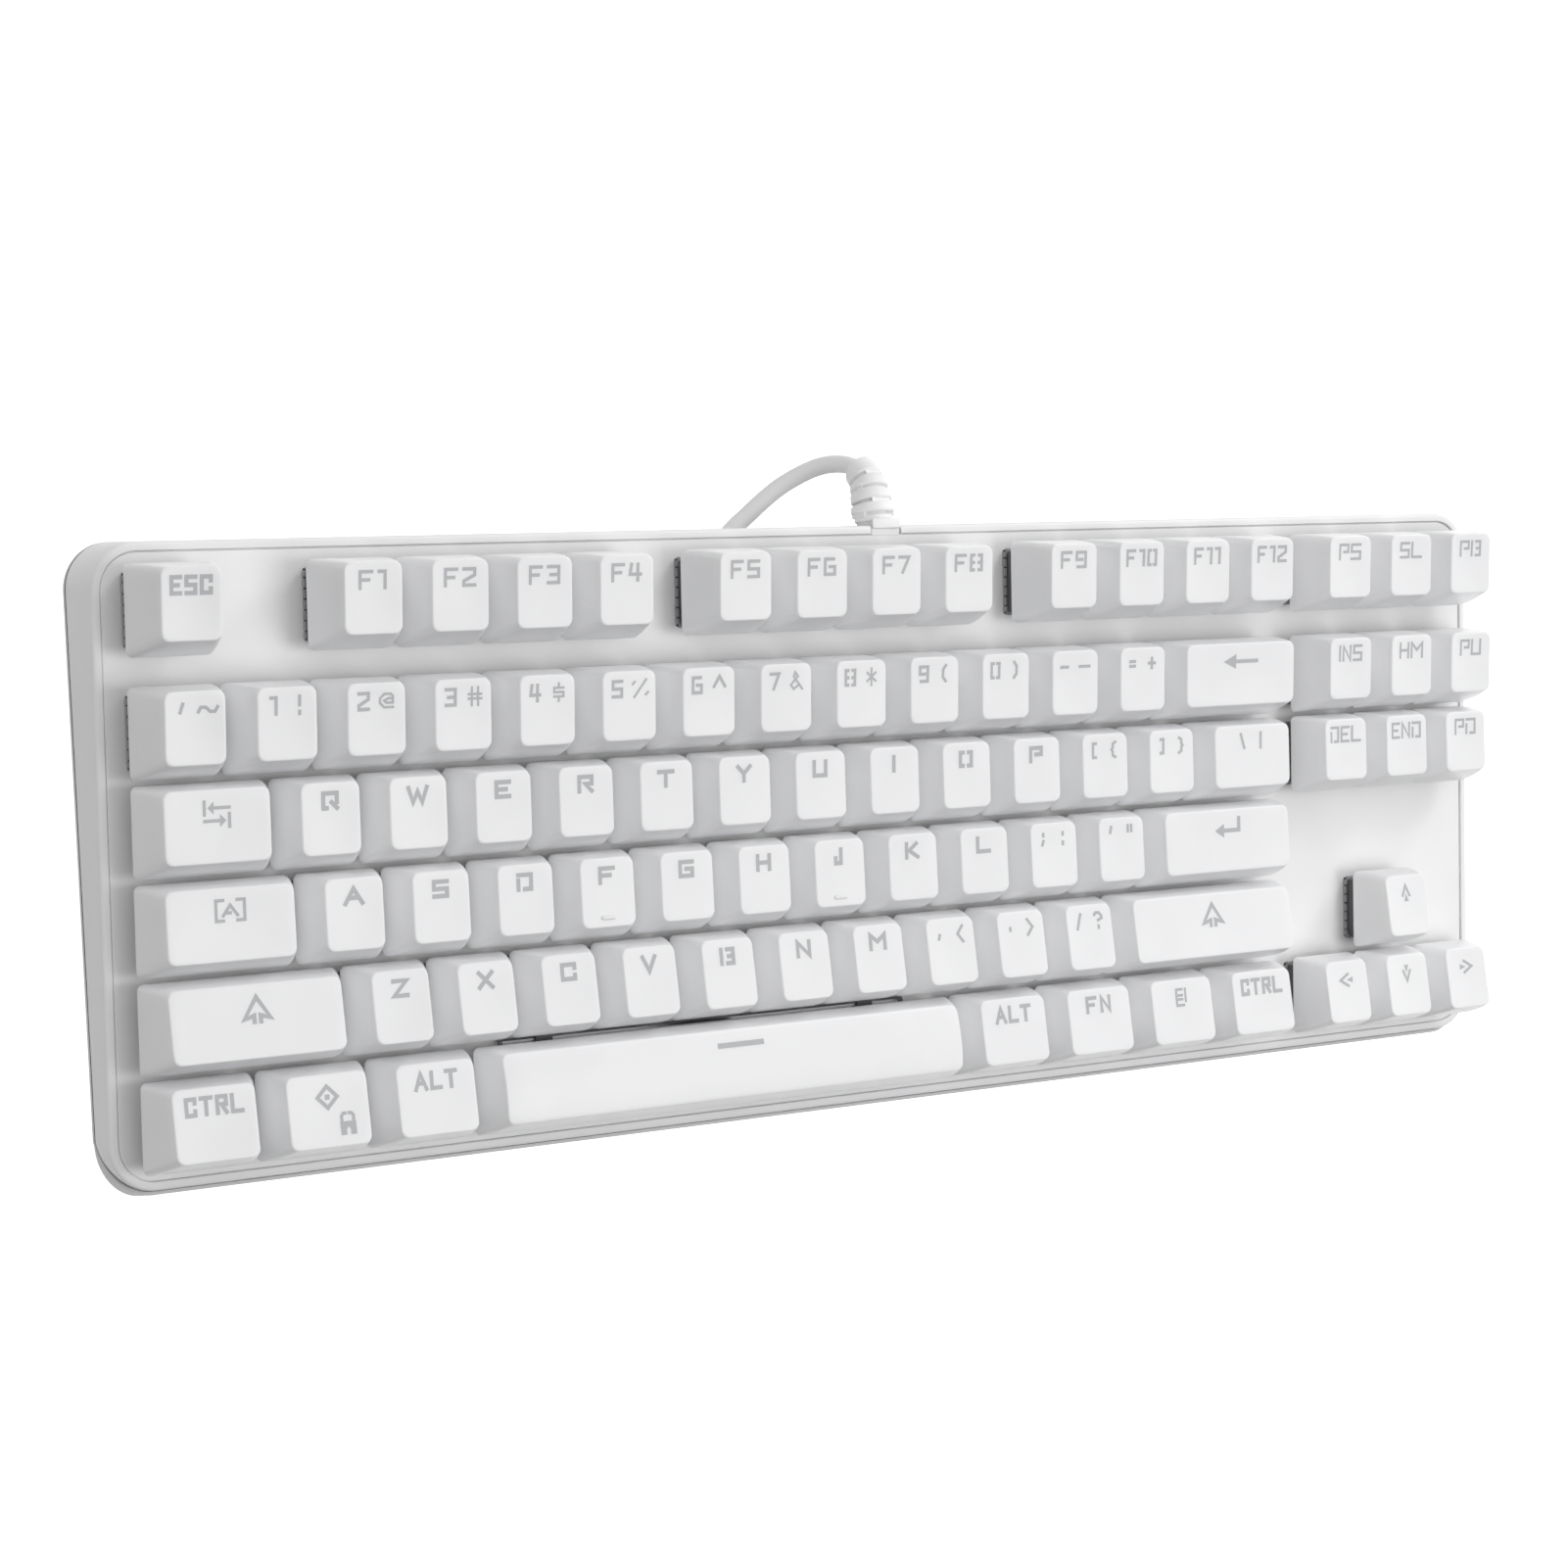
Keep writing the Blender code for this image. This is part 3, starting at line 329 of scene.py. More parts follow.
def piece(obj, body, slot, *nodes):
    """Makes an object ride on a body and stand for CAD nodes. The slot is not used."""
    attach(obj, body)
    if nodes:
        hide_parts(*nodes)
    return obj


# Materials.

GLOSS_DRIFT = 0.05


def set_inputs(node, **values):
    """Sets a shader node's inputs. An underscore stands for a space."""
    for socket, value in values.items():
        node.inputs[socket.replace("_", " ")].default_value = value
    return node


def material(name, colour, roughness, grain, bump, mottle=0.02, metallic=0.0, **sockets):
    """A moulded, painted or coated surface, with a fine grain in millimetres and slow drifts of tone."""
    made = bpy.data.materials.new(name)
    made.use_nodes = True
    nodes, links = made.node_tree.nodes, made.node_tree.links
    shader = set_inputs(nodes["Principled BSDF"], Metallic=metallic, **sockets)
    coordinates = nodes.new("ShaderNodeTexCoord")
    fine = set_inputs(nodes.new("ShaderNodeTexNoise"), Scale=1 / (grain * MM), Detail=3)
    relief = set_inputs(nodes.new("ShaderNodeBump"), Strength=bump, Distance=grain * MM / 4)
    drift = set_inputs(nodes.new("ShaderNodeTexNoise"), Scale=45, Detail=2)
    tones = nodes.new("ShaderNodeValToRGB")
    for element, position, share in zip(tones.color_ramp.elements, (0.35, 0.65), (1 - mottle, 1 + mottle)):
        element.position = position
        element.color = (*(min(1, c * share) for c in colour), 1)
    gloss = nodes.new("ShaderNodeMapRange")
    set_inputs(gloss, To_Min=roughness - GLOSS_DRIFT, To_Max=roughness + GLOSS_DRIFT)
    for source, output, target, socket in (
        (coordinates, "Object", fine, "Vector"),
        (coordinates, "Object", drift, "Vector"),
        (fine, "Fac", relief, "Height"),
        (relief, "Normal", shader, "Normal"),
        (drift, "Fac", tones, "Fac"),
        (tones, "Color", shader, "Base Color"),
        (fine, "Fac", gloss, "Value"),
        (gloss, "Result", shader, "Roughness"),
    ):
        links.new(source.outputs[output], target.inputs[socket])
    return made


# Light that enters white plastic and leaves it a little further on.
WHITE_DEPTH = {"Subsurface_Weight": 0.35, "Subsurface_Radius": (1, 1, 1), "Subsurface_Scale": 1.2 * MM}
MATERIALS = {
    "cap": material("cap_plastic", (0.90, 0.903, 0.915), 0.36, 0.25, 0.12, **WHITE_DEPTH),
    "legend": material("legend_plastic", (0.40, 0.41, 0.43), 0.45, 0.2, 0.1),
    "stem": material("stem_plastic", (0.30, 0.12, 0.07), 0.4, 0.3, 0.05),
    "case": material("case_plastic", (0.87, 0.87, 0.88), 0.48, 0.3, 0.2),
    "plate": material("plate_paint", (0.89, 0.89, 0.895), 0.4, 0.6, 0.15),
    "housing": material("housing_plastic", (0.035, 0.035, 0.038), 0.38, 0.3, 0.1),
    "flange": material("flange_plastic", (0.26, 0.26, 0.265), 0.45, 0.3, 0.1),
    "lamp": material("lamp_resin", (0.75, 0.77, 0.78), 0.15, 0.4, 0.02),
    "board": material("board_mask", (0.70, 0.72, 0.70), 0.4, 0.5, 0.1),
    "steel": material("nickel_plate", (0.66, 0.66, 0.67), 0.25, 0.15, 0.1, metallic=1.0),
    "wire": material("oiled_wire", (0.22, 0.22, 0.23), 0.4, 0.2, 0.1, metallic=1.0),
    "gold": material("contact_gold", (0.83, 0.62, 0.28), 0.25, 0.15, 0.05, metallic=1.0),
    "cable": material("cable_sheath", (0.9, 0.9, 0.905), 0.5, 0.25, 0.12),
    "grip": material("grip_plastic", (0.80, 0.80, 0.81), 0.5, 0.3, 0.2),
    "tie": material("hook_tape", (0.03, 0.03, 0.032), 0.9, 0.5, 0.8, mottle=0.3),
    # The tray is the case's plastic painted much darker: painted shade for the lip under the rim.
    "tray": material("tray_plastic_painted_shade", (0.56, 0.56, 0.57), 0.48, 0.3, 0.2),
    "foot": material("foot_plastic", (0.72, 0.72, 0.74), 0.45, 0.3, 0.15),
    "rubber": material("pad_rubber", (0.045, 0.045, 0.048), 0.75, 0.35, 0.4, mottle=0.15),
}


# Cable and what is on it.


def smooth_route(points, step):
    """Points about a step apart on a Catmull-Rom curve through the given ones."""
    route = [Vector(point) for point in points]
    route = [2 * route[0] - route[1], *route, 2 * route[-1] - route[-2]]
    fine = []
    for a, b, c, d in zip(route, route[1:], route[2:], route[3:]):
        for i in range(20):
            t = i / 20
            bend = (2 * a - 5 * b + 4 * c - d) * t**2 + (3 * b - 3 * c + d - a) * t**3
            fine.append(0.5 * (2 * b + (c - a) * t + bend))
    fine.append(route[-2])
    lengths = [0.0]
    for a, b in zip(fine, fine[1:]):
        lengths.append(lengths[-1] + (b - a).length)
    count = max(2, round(lengths[-1] / step))
    picked, index = [], 0
    for i in range(count + 1):
        wanted = lengths[-1] * i / count
        while index < len(lengths) - 2 and lengths[index + 1] < wanted:
            index += 1
        share = (wanted - lengths[index]) / (lengths[index + 1] - lengths[index])
        picked.append(fine[index].lerp(fine[index + 1], share))
    return picked


def hank_points():
    """Centreline of the hank: rear run, left arc, front run and right arc of each turn."""
    outer, middle, inner = HANK_RADII
    low, high = HANK_LAYERS
    radii = [outer, middle, inner, inner, middle, outer, outer]
    heights = [low] * 3 + [high] * 4
    x, y = HANK_CENTRE
    points = []
    for index, (radius, next_radius, z, next_z) in enumerate(zip(radii, radii[1:], heights, heights[1:])):
        for i in range(4):
            points.append((x + HANK_HALF_RUN * (1 - i / 2), y + radius, z))
        for i in range(12):
            angle = math.pi * (0.5 + i / 12)
            points.append((x - HANK_HALF_RUN + radius * math.cos(angle), y + radius * math.sin(angle), z))
        for i in range(8):
            t = (i / 8) ** 2 * (3 - i / 4)
            run_radius = radius + (next_radius - radius) * t
            points.append((x - HANK_HALF_RUN * (1 - i / 4), y - run_radius, z + (next_z - z) * t))
        for i in range(12 if index < len(radii) - 2 else 0):
            angle = math.pi * (i / 12 - 0.5)
            centre = x + HANK_HALF_RUN
            points.append((centre + next_radius * math.cos(angle), y + next_radius * math.sin(angle), next_z))
    points.append((x + HANK_HALF_RUN, y - outer, high))
    return points


def across(direction):
    """Two unit vectors square to a direction: sideways, and up as far as can be."""
    side = direction.cross(Vector((0, 0, 1))).normalized()
    return side, side.cross(direction).normalized()


def circle(centre, direction, radius):
    side, up = across(direction)
    return [centre + radius * (side * x + up * y) for x, y in round_points(1, 32)]


def make_relief():
    """A sleeve that bends with the cable: a core, rings round it, and webs that join the rings in pairs."""
    inward = (PLANE.to_3x3() @ Vector((0, 1, 0))).normalized()
    root = PLANE @ Vector((OUTLET_X, HALF_DEPTH, -4.5 * MM))
    shape = bmesh.new()
    sections = [(-4.4, 2.4), (-4.3, 2.8), (-3.1, 2.8), (-3.0, 2.3)]
    sections += [(-1.5, 2.3), (-1.4, 3.6), (0.9, 3.7), (1.0, 2.3)]
    loft(shape, [circle(root + inward * at * MM, inward, radius * MM) for at, radius in sections])
    path = smooth_route(CABLE_ROUTE, 0.25 * MM)
    per_mm = 4

    def station(at):
        index = round(at * per_mm)
        return path[index], (path[index + 1] - path[index]).normalized()

    loft(shape, [circle(*station(0.2 + i), (3.1 - 0.05 * i) * MM) for i in range(14)])
    rings = [(0.5, 2.0, 4.2), (2.5, 4.3, 4.85), (5.1, 7.0, 4.6), (7.8, 9.6, 4.3), (10.4, 14.0, 3.9)]
    inner = 2.3
    for start, end, radius in rings:
        steps = [(start, inner), (start, radius - 0.25), (start + 0.25, radius), (end - 0.25, radius - 0.1)]
        steps += [(end, radius - 0.35), (end, inner)]
        loops = [circle(*station(at), size * MM) for at, size in steps]
        if end > 13:
            loops.insert(4, circle(*station(end - 1.6), (radius - 0.3) * MM))
        loft(shape, loops)
    for index, (first, second) in enumerate(zip(rings, rings[1:])):
        for facing in (0, math.pi):
            angle = facing + (math.pi / 2 if index % 2 else 0)
            loops = []
            for at in (first[1] - 0.4, second[0] + 0.4):
                centre, direction = station(at)
                side, up = across(direction)
                corners = []
                reach = second[2] - 0.2
                for turn, size in ((-0.55, 2.4), (0.55, 2.4), (0.55, reach), (-0.55, reach)):
                    way = side * math.cos(angle + turn) + up * math.sin(angle + turn)
                    corners.append(centre + way * size * MM)
                loops.append(corners)
            loft(shape, loops)
    return piece(finished("strain_relief_sleeve", shape, "cable"), "case", "cable", "strain_relief")


def section_at(x, y, z, width, height, radius):
    points = rounded_points(-width / 2, width / 2, -height / 2, height / 2, radius, 5)
    return [(x, y + a, z + b) for a, b in points]


def make_plug():
    """A moulded grip with ribs and a slotted tail, then a pressed shell with its tongue and contacts."""
    y, z = 21.1 * MM, 4.0 * MM
    shape = bmesh.new()
    loops = []
    tail = smooth_route(PLUG_TAIL, 0.9 * MM)
    for index, point in enumerate(tail):
        radius = (2.25 + 0.95 * index / (len(tail) - 1)) * MM
        if index % 3 == 1 and 1 < index < len(tail) - 2:
            radius -= 0.45 * MM
        loops.append(section_at(*point, 2 * radius, 2 * radius, 0.98 * radius))
    steps = [(-9.0, 0.72), (-8.4, 0.86), (-7.4, 0.95), (-6.0, 1.0), (6.0, 1.0)]
    rib = ((0.3, 1), (0.5, 0.93), (1.1, 0.93), (1.3, 1))
    steps += [(6 + 1.6 * i + part, share) for i in range(5) for part, share in rib]
    steps += [(18.8, 1.0), (19.6, 0.96), (20.0, 0.88)]
    for at, share in steps:
        loops.append(section_at(at * MM, y, z, share * 11 * MM, share * 7.6 * MM, share * 2.6 * MM))
    loft(shape, loops)
    grip = piece(finished("plug_grip", shape, "grip"), "case", "grip", "usb_plug_grip")

    start, end, wall = 20.3 * MM, 39.0 * MM, 0.35 * MM
    shape = bmesh.new()
    loops = []
    for x, inset in ((start, 0), (end - 0.2 * MM, 0), (end, 0.1 * MM), (end, wall), (start + 3 * MM, wall)):
        loops.append(section_at(x, y, z, 12 * MM - 2 * inset, 4.5 * MM - 2 * inset, 0.7 * MM - inset))
    loft(shape, loops)
    shell = finished("plug_shell", shape, "steel")
    holes = bmesh.new()
    for side in (-1, 1):
        for bottom, top in ((1.95, 3), (-3, -1.95)):
            box(holes, (7.2, -1.15, bottom), (9.4, 1.15, top), at=(start, y + side * 2.9 * MM, z))
    carve(shell, holes)
    piece(shell, "case", "steel", "usb_plug_shell")

    shape = bmesh.new()
    box(shape, (3.3, -5.5, -1.85), (18, 5.5, -0.1), at=(start, y, z))
    for i in range(4):
        box(shape, (6, -0.5, -0.1), (17.1, 0.5, 0.06), 1, (start, y + (i - 1.5) * 2.4 * MM, z))
    tongue = piece(finished("plug_tongue", shape, "housing gold"), "case", "steel")
    return grip, shell, tongue


def make_tie():
    """Hook tape round the hank's rear run, with its free end lying over the loop."""
    outer, _, inner = HANK_RADII
    half = CABLE_DIAMETER / 2 + FIT_GAP
    y_low, y_high = HANK_CENTRE[1] + inner - half, HANK_CENTRE[1] + outer + half
    z_low, z_high = HANK_LAYERS[0] - half + 0.15 * MM, HANK_LAYERS[1] + half
    shape = bmesh.new()
    loops = []
    for x, grow in ((-4.0, 0.55), (-3.7, 0.65), (3.7, 0.65), (4.0, 0.55), (4.0, 0.05), (-4.0, 0.05)):
        grow *= MM
        points = rounded_points(y_low - grow, y_high + grow, z_low - grow, z_high + grow, 1.7 * MM + grow, 6)
        loops.append([(HANK_CENTRE[0] + x * MM, py, pz) for py, pz in points])
    loft(shape, loops, ring=True)
    loops = []
    for share in (0, 0.25, 0.5, 0.75, 1):
        py = y_low + 1.5 * MM + share * 8.5 * MM
        pz = z_high + 0.62 * MM + 0.28 * MM * math.sin(share * math.pi / 2)
        corners = ((-3.6, 0), (3.6, 0), (3.6, 0.5), (-3.6, 0.5))
        loops.append([(HANK_CENTRE[0] + x * MM, py, pz + dz * MM) for x, dz in corners])
    loft(shape, loops)
    return piece(finished("cable_strap", shape, "tie"), "case", "tie", "cable_tie")


def make_cable():
    """The whole cable on one curve, with its sleeve, strap and plug."""
    points = smooth_route([*CABLE_ROUTE, *hank_points(), *PLUG_TAIL[:2]], 1.5 * MM)
    curve = bpy.data.curves.new("cable", "CURVE")
    curve.dimensions = "3D"
    curve.bevel_depth = CABLE_DIAMETER / 2
    curve.bevel_resolution = 6
    curve.use_fill_caps = True
    curve.materials.append(MATERIALS["cable"])
    spline = curve.splines.new("POLY")
    spline.points.add(len(points) - 1)
    spline.use_smooth = True
    for point, place in zip(spline.points, points):
        point.co = (*place, 1.0)
    cable = piece(new_object("cable", curve), "case", "cable", "usb_cable", "cable_coil")
    carried = [make_relief(), make_tie(), *make_plug()]
    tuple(CABLE_ROUTE[0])


# Keycaps.


def keys_of(row, start, caps):
    """(x, y, width in metres, legend) of each cap of a node."""
    y = FIELD_DEPTH / 2 - (row + 0.5) * KEY_PITCH - (FUNCTION_ROW_GAP if row > 0 else 0)
    found = []
    for cap in caps:
        width, legend = cap if isinstance(cap, tuple) else (1, cap)
        found.append(((start + width / 2) * KEY_PITCH - FIELD_WIDTH / 2, y, width * KEY_PITCH, legend))
        start += width
    return found


def all_keys():
    return [key for _, row, start, caps in KEY_NODES for key in keys_of(row, start, caps)]


class Cap:
    """One cap's outer surface in the key plane: where a point of its walls and top lies."""

    def __init__(self, x, y, width, row, convex):
        self.x, self.y, self.convex = x, y, convex
        self.skirt = SPACE_SKIRT_HEIGHT if convex else SKIRT_HEIGHT
        self.rear, self.front = (height - self.skirt for height in ROW_TOP_HEIGHTS[row])
        self.half_width = (width - KEY_SPACING) / 2
        self.half_depth = (KEY_PITCH - KEY_SPACING) / 2
        self.top_half_width = self.half_width - TOP_SIDE_INSET
        self.top_front = TOP_FRONT_INSET - self.half_depth
        self.top_rear = self.half_depth - TOP_REAR_INSET
        self.parts = max(8, round(width / (2.4 * MM)))

    def height(self, y):
        """Height of the top's plane over the skirt at a depth y from the cap's middle."""
        share = (y - self.top_front) / (self.top_rear - self.top_front)
        return self.front + (self.rear - self.front) * share

    def dish(self, x, y):
        """How far the top lies below its plane."""
        across_top = min(1.0, abs(x) / self.top_half_width)
        middle = (self.top_front + self.top_rear) / 2
        along_top = min(1.0, abs(y - middle) / (self.top_rear - middle))
        if self.convex:
            return -SPACE_CROWN * (1 - along_top**2)
        return DISH_DEPTH * (1 - across_top**2) * (0.3 + 0.7 * (1 - along_top**2))

    def bounds(self, t, inset=0.0):
        """The rectangle of a section at a share t of the height."""
        half = self.half_width - t * TOP_SIDE_INSET - inset
        front = -self.half_depth + t * TOP_FRONT_INSET + inset
        return -half, half, front, self.half_depth - t * TOP_REAR_INSET - inset

    def loop(self, bounds, radius, place):
        points = rounded_points(*bounds, radius, 5, self.parts, 5)
        return [(self.x + x, self.y + y, self.skirt + place(x, y)) for x, y in points]

    def wall(self, t, inset=0.0):
        """A loop of the walls at a share t of the height. Near the top it follows the dish."""
        radius = SKIRT_RADIUS + (TOP_RADIUS - SKIRT_RADIUS) * t - min(inset, 0.5 * MM)
        near_top = max(0.0, 2 * t - 1)
        bounds = self.bounds(t, inset - 4 * t * (1 - t) * WALL_BULGE)
        return self.loop(bounds, radius, lambda x, y: t * self.height(y) - near_top * self.dish(x, y))

    def top(self, x, y):
        return self.height(y) - self.dish(x, y)

    def on_top(self, point, rise):
        x, y = point
        return self.x + x, self.y + y, self.skirt + self.top(x, y) + rise

    def edge(self, angle):
        """A loop of the rounded edge between wall and top."""
        turn = 1 - math.cos(angle)
        share = EDGE_RADIUS * (1 - turn) / ((self.front + self.rear) / 2)
        drop = EDGE_RADIUS * (1 - math.sin(angle))
        bounds = self.bounds(1 - share, turn * 0.55 * EDGE_RADIUS)
        return self.loop(bounds, TOP_RADIUS, lambda x, y: self.top(x, y) - drop)

    def face(self, share):
        """A loop of the top, shrunk towards its middle."""
        low_x, high_x, low_y, high_y = self.bounds(1, 0.55 * EDGE_RADIUS)
        middle, half = (low_y + high_y) / 2, (high_y - low_y) / 2 * share
        bounds = (low_x * share, high_x * share, middle - half, middle + half)
        return self.loop(bounds, TOP_RADIUS * share, self.top)

    def ceiling(self):
        height = min(self.front, self.rear) - CAP_ROOF
        return self.loop(self.bounds(1, CAP_WALL), 0.6 * MM, lambda x, y: height)


def add_cap(shape, cap):
    loops = [cap.ceiling(), cap.wall(0, CAP_WALL), cap.wall(0, 0.25 * MM), cap.wall(0.02)]
    loops += [cap.wall(t) for t in (0.2, 0.45, 0.7, 0.88)]
    loops += [cap.edge(math.radians(angle)) for angle in (0, 22.5, 45, 67.5, 90)]
    loops += [cap.face(share) for share in (0.92, 0.78, 0.6, 0.4, 0.2, 0.04)]
    loft(shape, loops)
    inner = min(cap.front, cap.rear) - CAP_ROOF + cap.skirt
    for low, half, corner in ((6.35 * MM, 2.75 * MM, 2.7 * MM), (2.3 * MM, 2.1 * MM, 0.4 * MM)):
        points = rounded_points(-half, half, -half, half, corner, 4)
        ends = (low, inner + 0.2 * MM)
        loft(shape, [[(cap.x + x, cap.y + y, z) for x, y in points] for z in ends], material=1)


def add_homing_bar(shape, cap):
    """A raised bar near the front of the top, for the index fingers."""
    middle = cap.top_front + 1.9 * MM
    loops = []
    for inset, rise in ((0, -0.1), (0, 0.12), (0.12, 0.28), (0.25, 0.32)):
        half_x, half_y = (1.7 - inset) * MM, (0.42 - inset) * MM
        points = rounded_points(-half_x, half_x, middle - half_y, middle + half_y, half_y * 0.95, 3)
        loops.append([cap.on_top(point, rise * MM) for point in points])
    loft(shape, loops)


# Legends: flat strokes sunk into the caps' tops.


def ribbon(points, width):
    """Left and right edge points of a stroke, mitred at its corners."""
    closed = points[0] == points[-1]
    ways = [(b - a).normalized() for a, b in zip(points, points[1:])]
    ways = [ways[-1] if closed else ways[0], *ways, ways[0] if closed else ways[-1]]
    edges = []
    for point, before, after in zip(points, ways, ways[1:]):
        mean = (before + after).normalized()
        normal = Vector((-mean.y, mean.x))
        stretch = 1 / max(SHARPEST_MITRE, mean.dot(after))
        offset = normal * width / 2 * stretch
        edges.append((point + offset, point - offset))
    return edges


def add_stroke(shape, cap, points, width):
    """A stroke as a closed strip that follows the cap's top."""
    if points[0] != points[-1]:
        first, last = (points[0] - points[1]).normalized(), (points[-1] - points[-2]).normalized()
        points = [points[0] + first * width / 2, *points[1:-1], points[-1] + last * width / 2]
    edges = ribbon(points, width)
    pairs = []
    for (left, right), (next_left, next_right) in zip(edges, edges[1:]):
        parts = max(1, math.ceil((next_left - left).length / MM))
        pairs += [(left.lerp(next_left, i / parts), right.lerp(next_right, i / parts)) for i in range(parts)]
    pairs.append(edges[-1])
    loops = []
    for left, right in pairs:
        upper = [cap.on_top(point, LEGEND_RISE) for point in (left, right)]
        loops.append(upper + [cap.on_top(point, -LEGEND_DEPTH) for point in (right, left)])
    loft(shape, loops)


def add_sign(shape, cap, sign, x, size):
    """One sign centred at x; its size is measured over the strokes."""
    width, height, stroke, drop = (value * MM for value in size)
    stroke = THIN_STROKE * MM if sign in THIN_SIGNS else stroke
    width = max(0.0, width * SIGN_SHARES.get(sign, 1) - stroke)
    height = max(0.0, height - stroke)
    base = cap.top_rear - drop - stroke / 2 - height
    for line in SIGNS[sign].split("|"):
        grid = [(int(point[0]), int(point[1])) for point in line.lstrip("=").split()]
        points = [Vector((x + (gx / 8 - 0.5) * width, base + gy / 8 * height)) for gx, gy in grid]
        if line.startswith("="):
            ends = (-LEGEND_DEPTH, LEGEND_RISE)
            loft(shape, [[cap.on_top(point, rise) for point in points] for rise in ends])
        else:
            add_stroke(shape, cap, points, stroke)


def add_legend(shape, cap, legend):
    if legend in ICON_SIZES:
        add_sign(shape, cap, legend, 0, ICON_SIZES[legend])
        if legend == "system":
            add_sign(shape, cap, "lock", 3.9 * MM, (4.0, 4.8, 0.65, 7.6))
    elif len(legend) == 1:
        add_sign(shape, cap, legend, 0, LETTER_SIZE)
    elif legend[1] == " ":
        add_sign(shape, cap, legend[0], -PAIR_OFFSET, EQUALS_SIZE if legend[0] == "=" else DIGIT_SIZE)
        add_sign(shape, cap, legend[2], PAIR_OFFSET, EQUALS_SIZE if legend[0] == "=" else SYMBOL_SIZE)
    else:
        size = WORD_SIZE
        if legend[0] == "F" and legend != "FN":
            size = FUNCTION_SIZE
        elif legend not in ("ESC", "CTRL", "ALT", "FN"):
            size = NAVIGATION_SIZE
        if len(legend) == 2:
            size = (size[0] * PAIR_STRETCH, *size[1:])
        widths = [size[0] * MM * SIGN_SHARES.get(sign, 1) for sign in legend]
        gaps = [NUMBER_GAP if sign == "F" else WORD_GAP for sign in legend[:-1]]
        x = -(sum(widths) + sum(gaps)) / 2
        for sign, width, gap in zip(legend, widths, [*gaps, 0]):
            add_sign(shape, cap, sign, x + width / 2, size)
            x += width + gap


def make_keys():
    for node, row, start, caps in KEY_NODES:
        plastic, legends = bmesh.new(), bmesh.new()
        for x, y, width, legend in keys_of(row, start, caps):
            cap = Cap(x, y, width, row, legend == "space")
            add_cap(plastic, cap)
            add_legend(legends, cap, legend)
            if legend in ("F", "J"):
                add_homing_bar(plastic, cap)
        piece(finished(f"{node}_cap", plastic, "cap stem", PLANE, 50), node, "cap", node)
        piece(finished(f"{node}_legend", legends, "legend", PLANE), node, "cap")


# Switches.


def add_switch(shape, x, y):
    """A notched flange on the plate, a tapered upper housing with a well, and a lamp behind it."""
    body = [(6.8, -4.7), (6.8, 1.15), (6.9, 1.3), (6.9, 2.0), (4.8, 6.0), (4.6, 6.2), (3.2, 6.2), (3.2, -3.2)]
    loops = []
    for half, z in body:
        points = rounded_points(-half * MM, half * MM, -half * MM, half * MM, 0.6 * MM, 2)
        loops.append([(x + px, y + py, z * MM) for px, py in points])
    loft(shape, loops)
    reach, inner, parts = 7.45 * MM, 6.7 * MM, 7
    for side in range(4):
        turn = Matrix.Rotation(side * math.pi / 2, 2)
        for i in range(parts):
            low = max(-inner, -reach + 2 * reach * i / parts + 0.16 * MM)
            high = min(inner, -reach + 2 * reach * (i + 1) / parts - 0.16 * MM)
            height = (1.0 if i in (0, parts - 1) else 0.9) * MM
            loops = []
            for z, shrink in ((0.25 * MM, 0), (height - 0.15 * MM, 0), (height, 0.15 * MM)):
                corners = [(low, -reach + shrink), (high, -reach + shrink), (high, -inner), (low, -inner)]
                placed = [turn @ Vector(corner) for corner in corners]
                loops.append([(x + p.x, y + p.y, z) for p in placed])
            loft(shape, loops, material=1)
    lamp = rounded_points(-1.5 * MM, 1.5 * MM, -5.4 * MM, -3.5 * MM, 0.7 * MM, 3)
    loft(shape, [[(x + px, y + py, z * MM) for px, py in lamp] for z in (3.5, 5.6)], material=2)


def make_switches():
    shape = bmesh.new()
    for x, y, _, _ in all_keys():
        add_switch(shape, x, y)
    piece(finished("switches", shape, "housing flange lamp", PLANE, 35), "case", "housing", "switch_housings")


# Case.


def wall_bottom(y):
    return WALL_BOTTOM_AT_FRONT - (y + HALF_DEPTH) * math.tan(WEDGE)


def front_share(y):
    return min(1.0, max(0.0, (CORNER_RADIUS - HALF_DEPTH - y) / CORNER_RADIUS))


def seam(y):
    share = front_share(y)
    return (1 - share) * wall_bottom(y) + share * FRONT_SEAM


def belt_height(y):
    return wall_bottom(y) - BELT_DROP


def base_height(y):
    return wall_bottom(y) - TRAY_DROP


def make_top_frame():
    shape = bmesh.new()
    loops = [level(RIM_CHAMFER, seam), level(0, lambda y: seam(y) + RIM_CHAMFER)]
    for angle in (0, 22.5, 45, 67.5, 90):
        turn = math.radians(angle)
        loops.append(level(RIM_FILLET * (1 - math.cos(turn)), RIM_TOP - RIM_FILLET * (1 - math.sin(turn))))
    loops += [level(RIM_WIDTH - RIM_CHAMFER, RIM_TOP), level(RIM_WIDTH, RIM_TOP - RIM_CHAMFER)]
    loft(shape, [*loops, level(RIM_WIDTH, seam)], ring=True)
    rim = finished("frame_rim", shape, "case", PLANE)
    notch = bmesh.new()
    box(notch, (-4, -4, -9), (4, 2, 2), at=(OUTLET_X, HALF_DEPTH, 0))
    carve(rim, notch, PLANE)
    piece(rim, "case", "case", "top_frame")


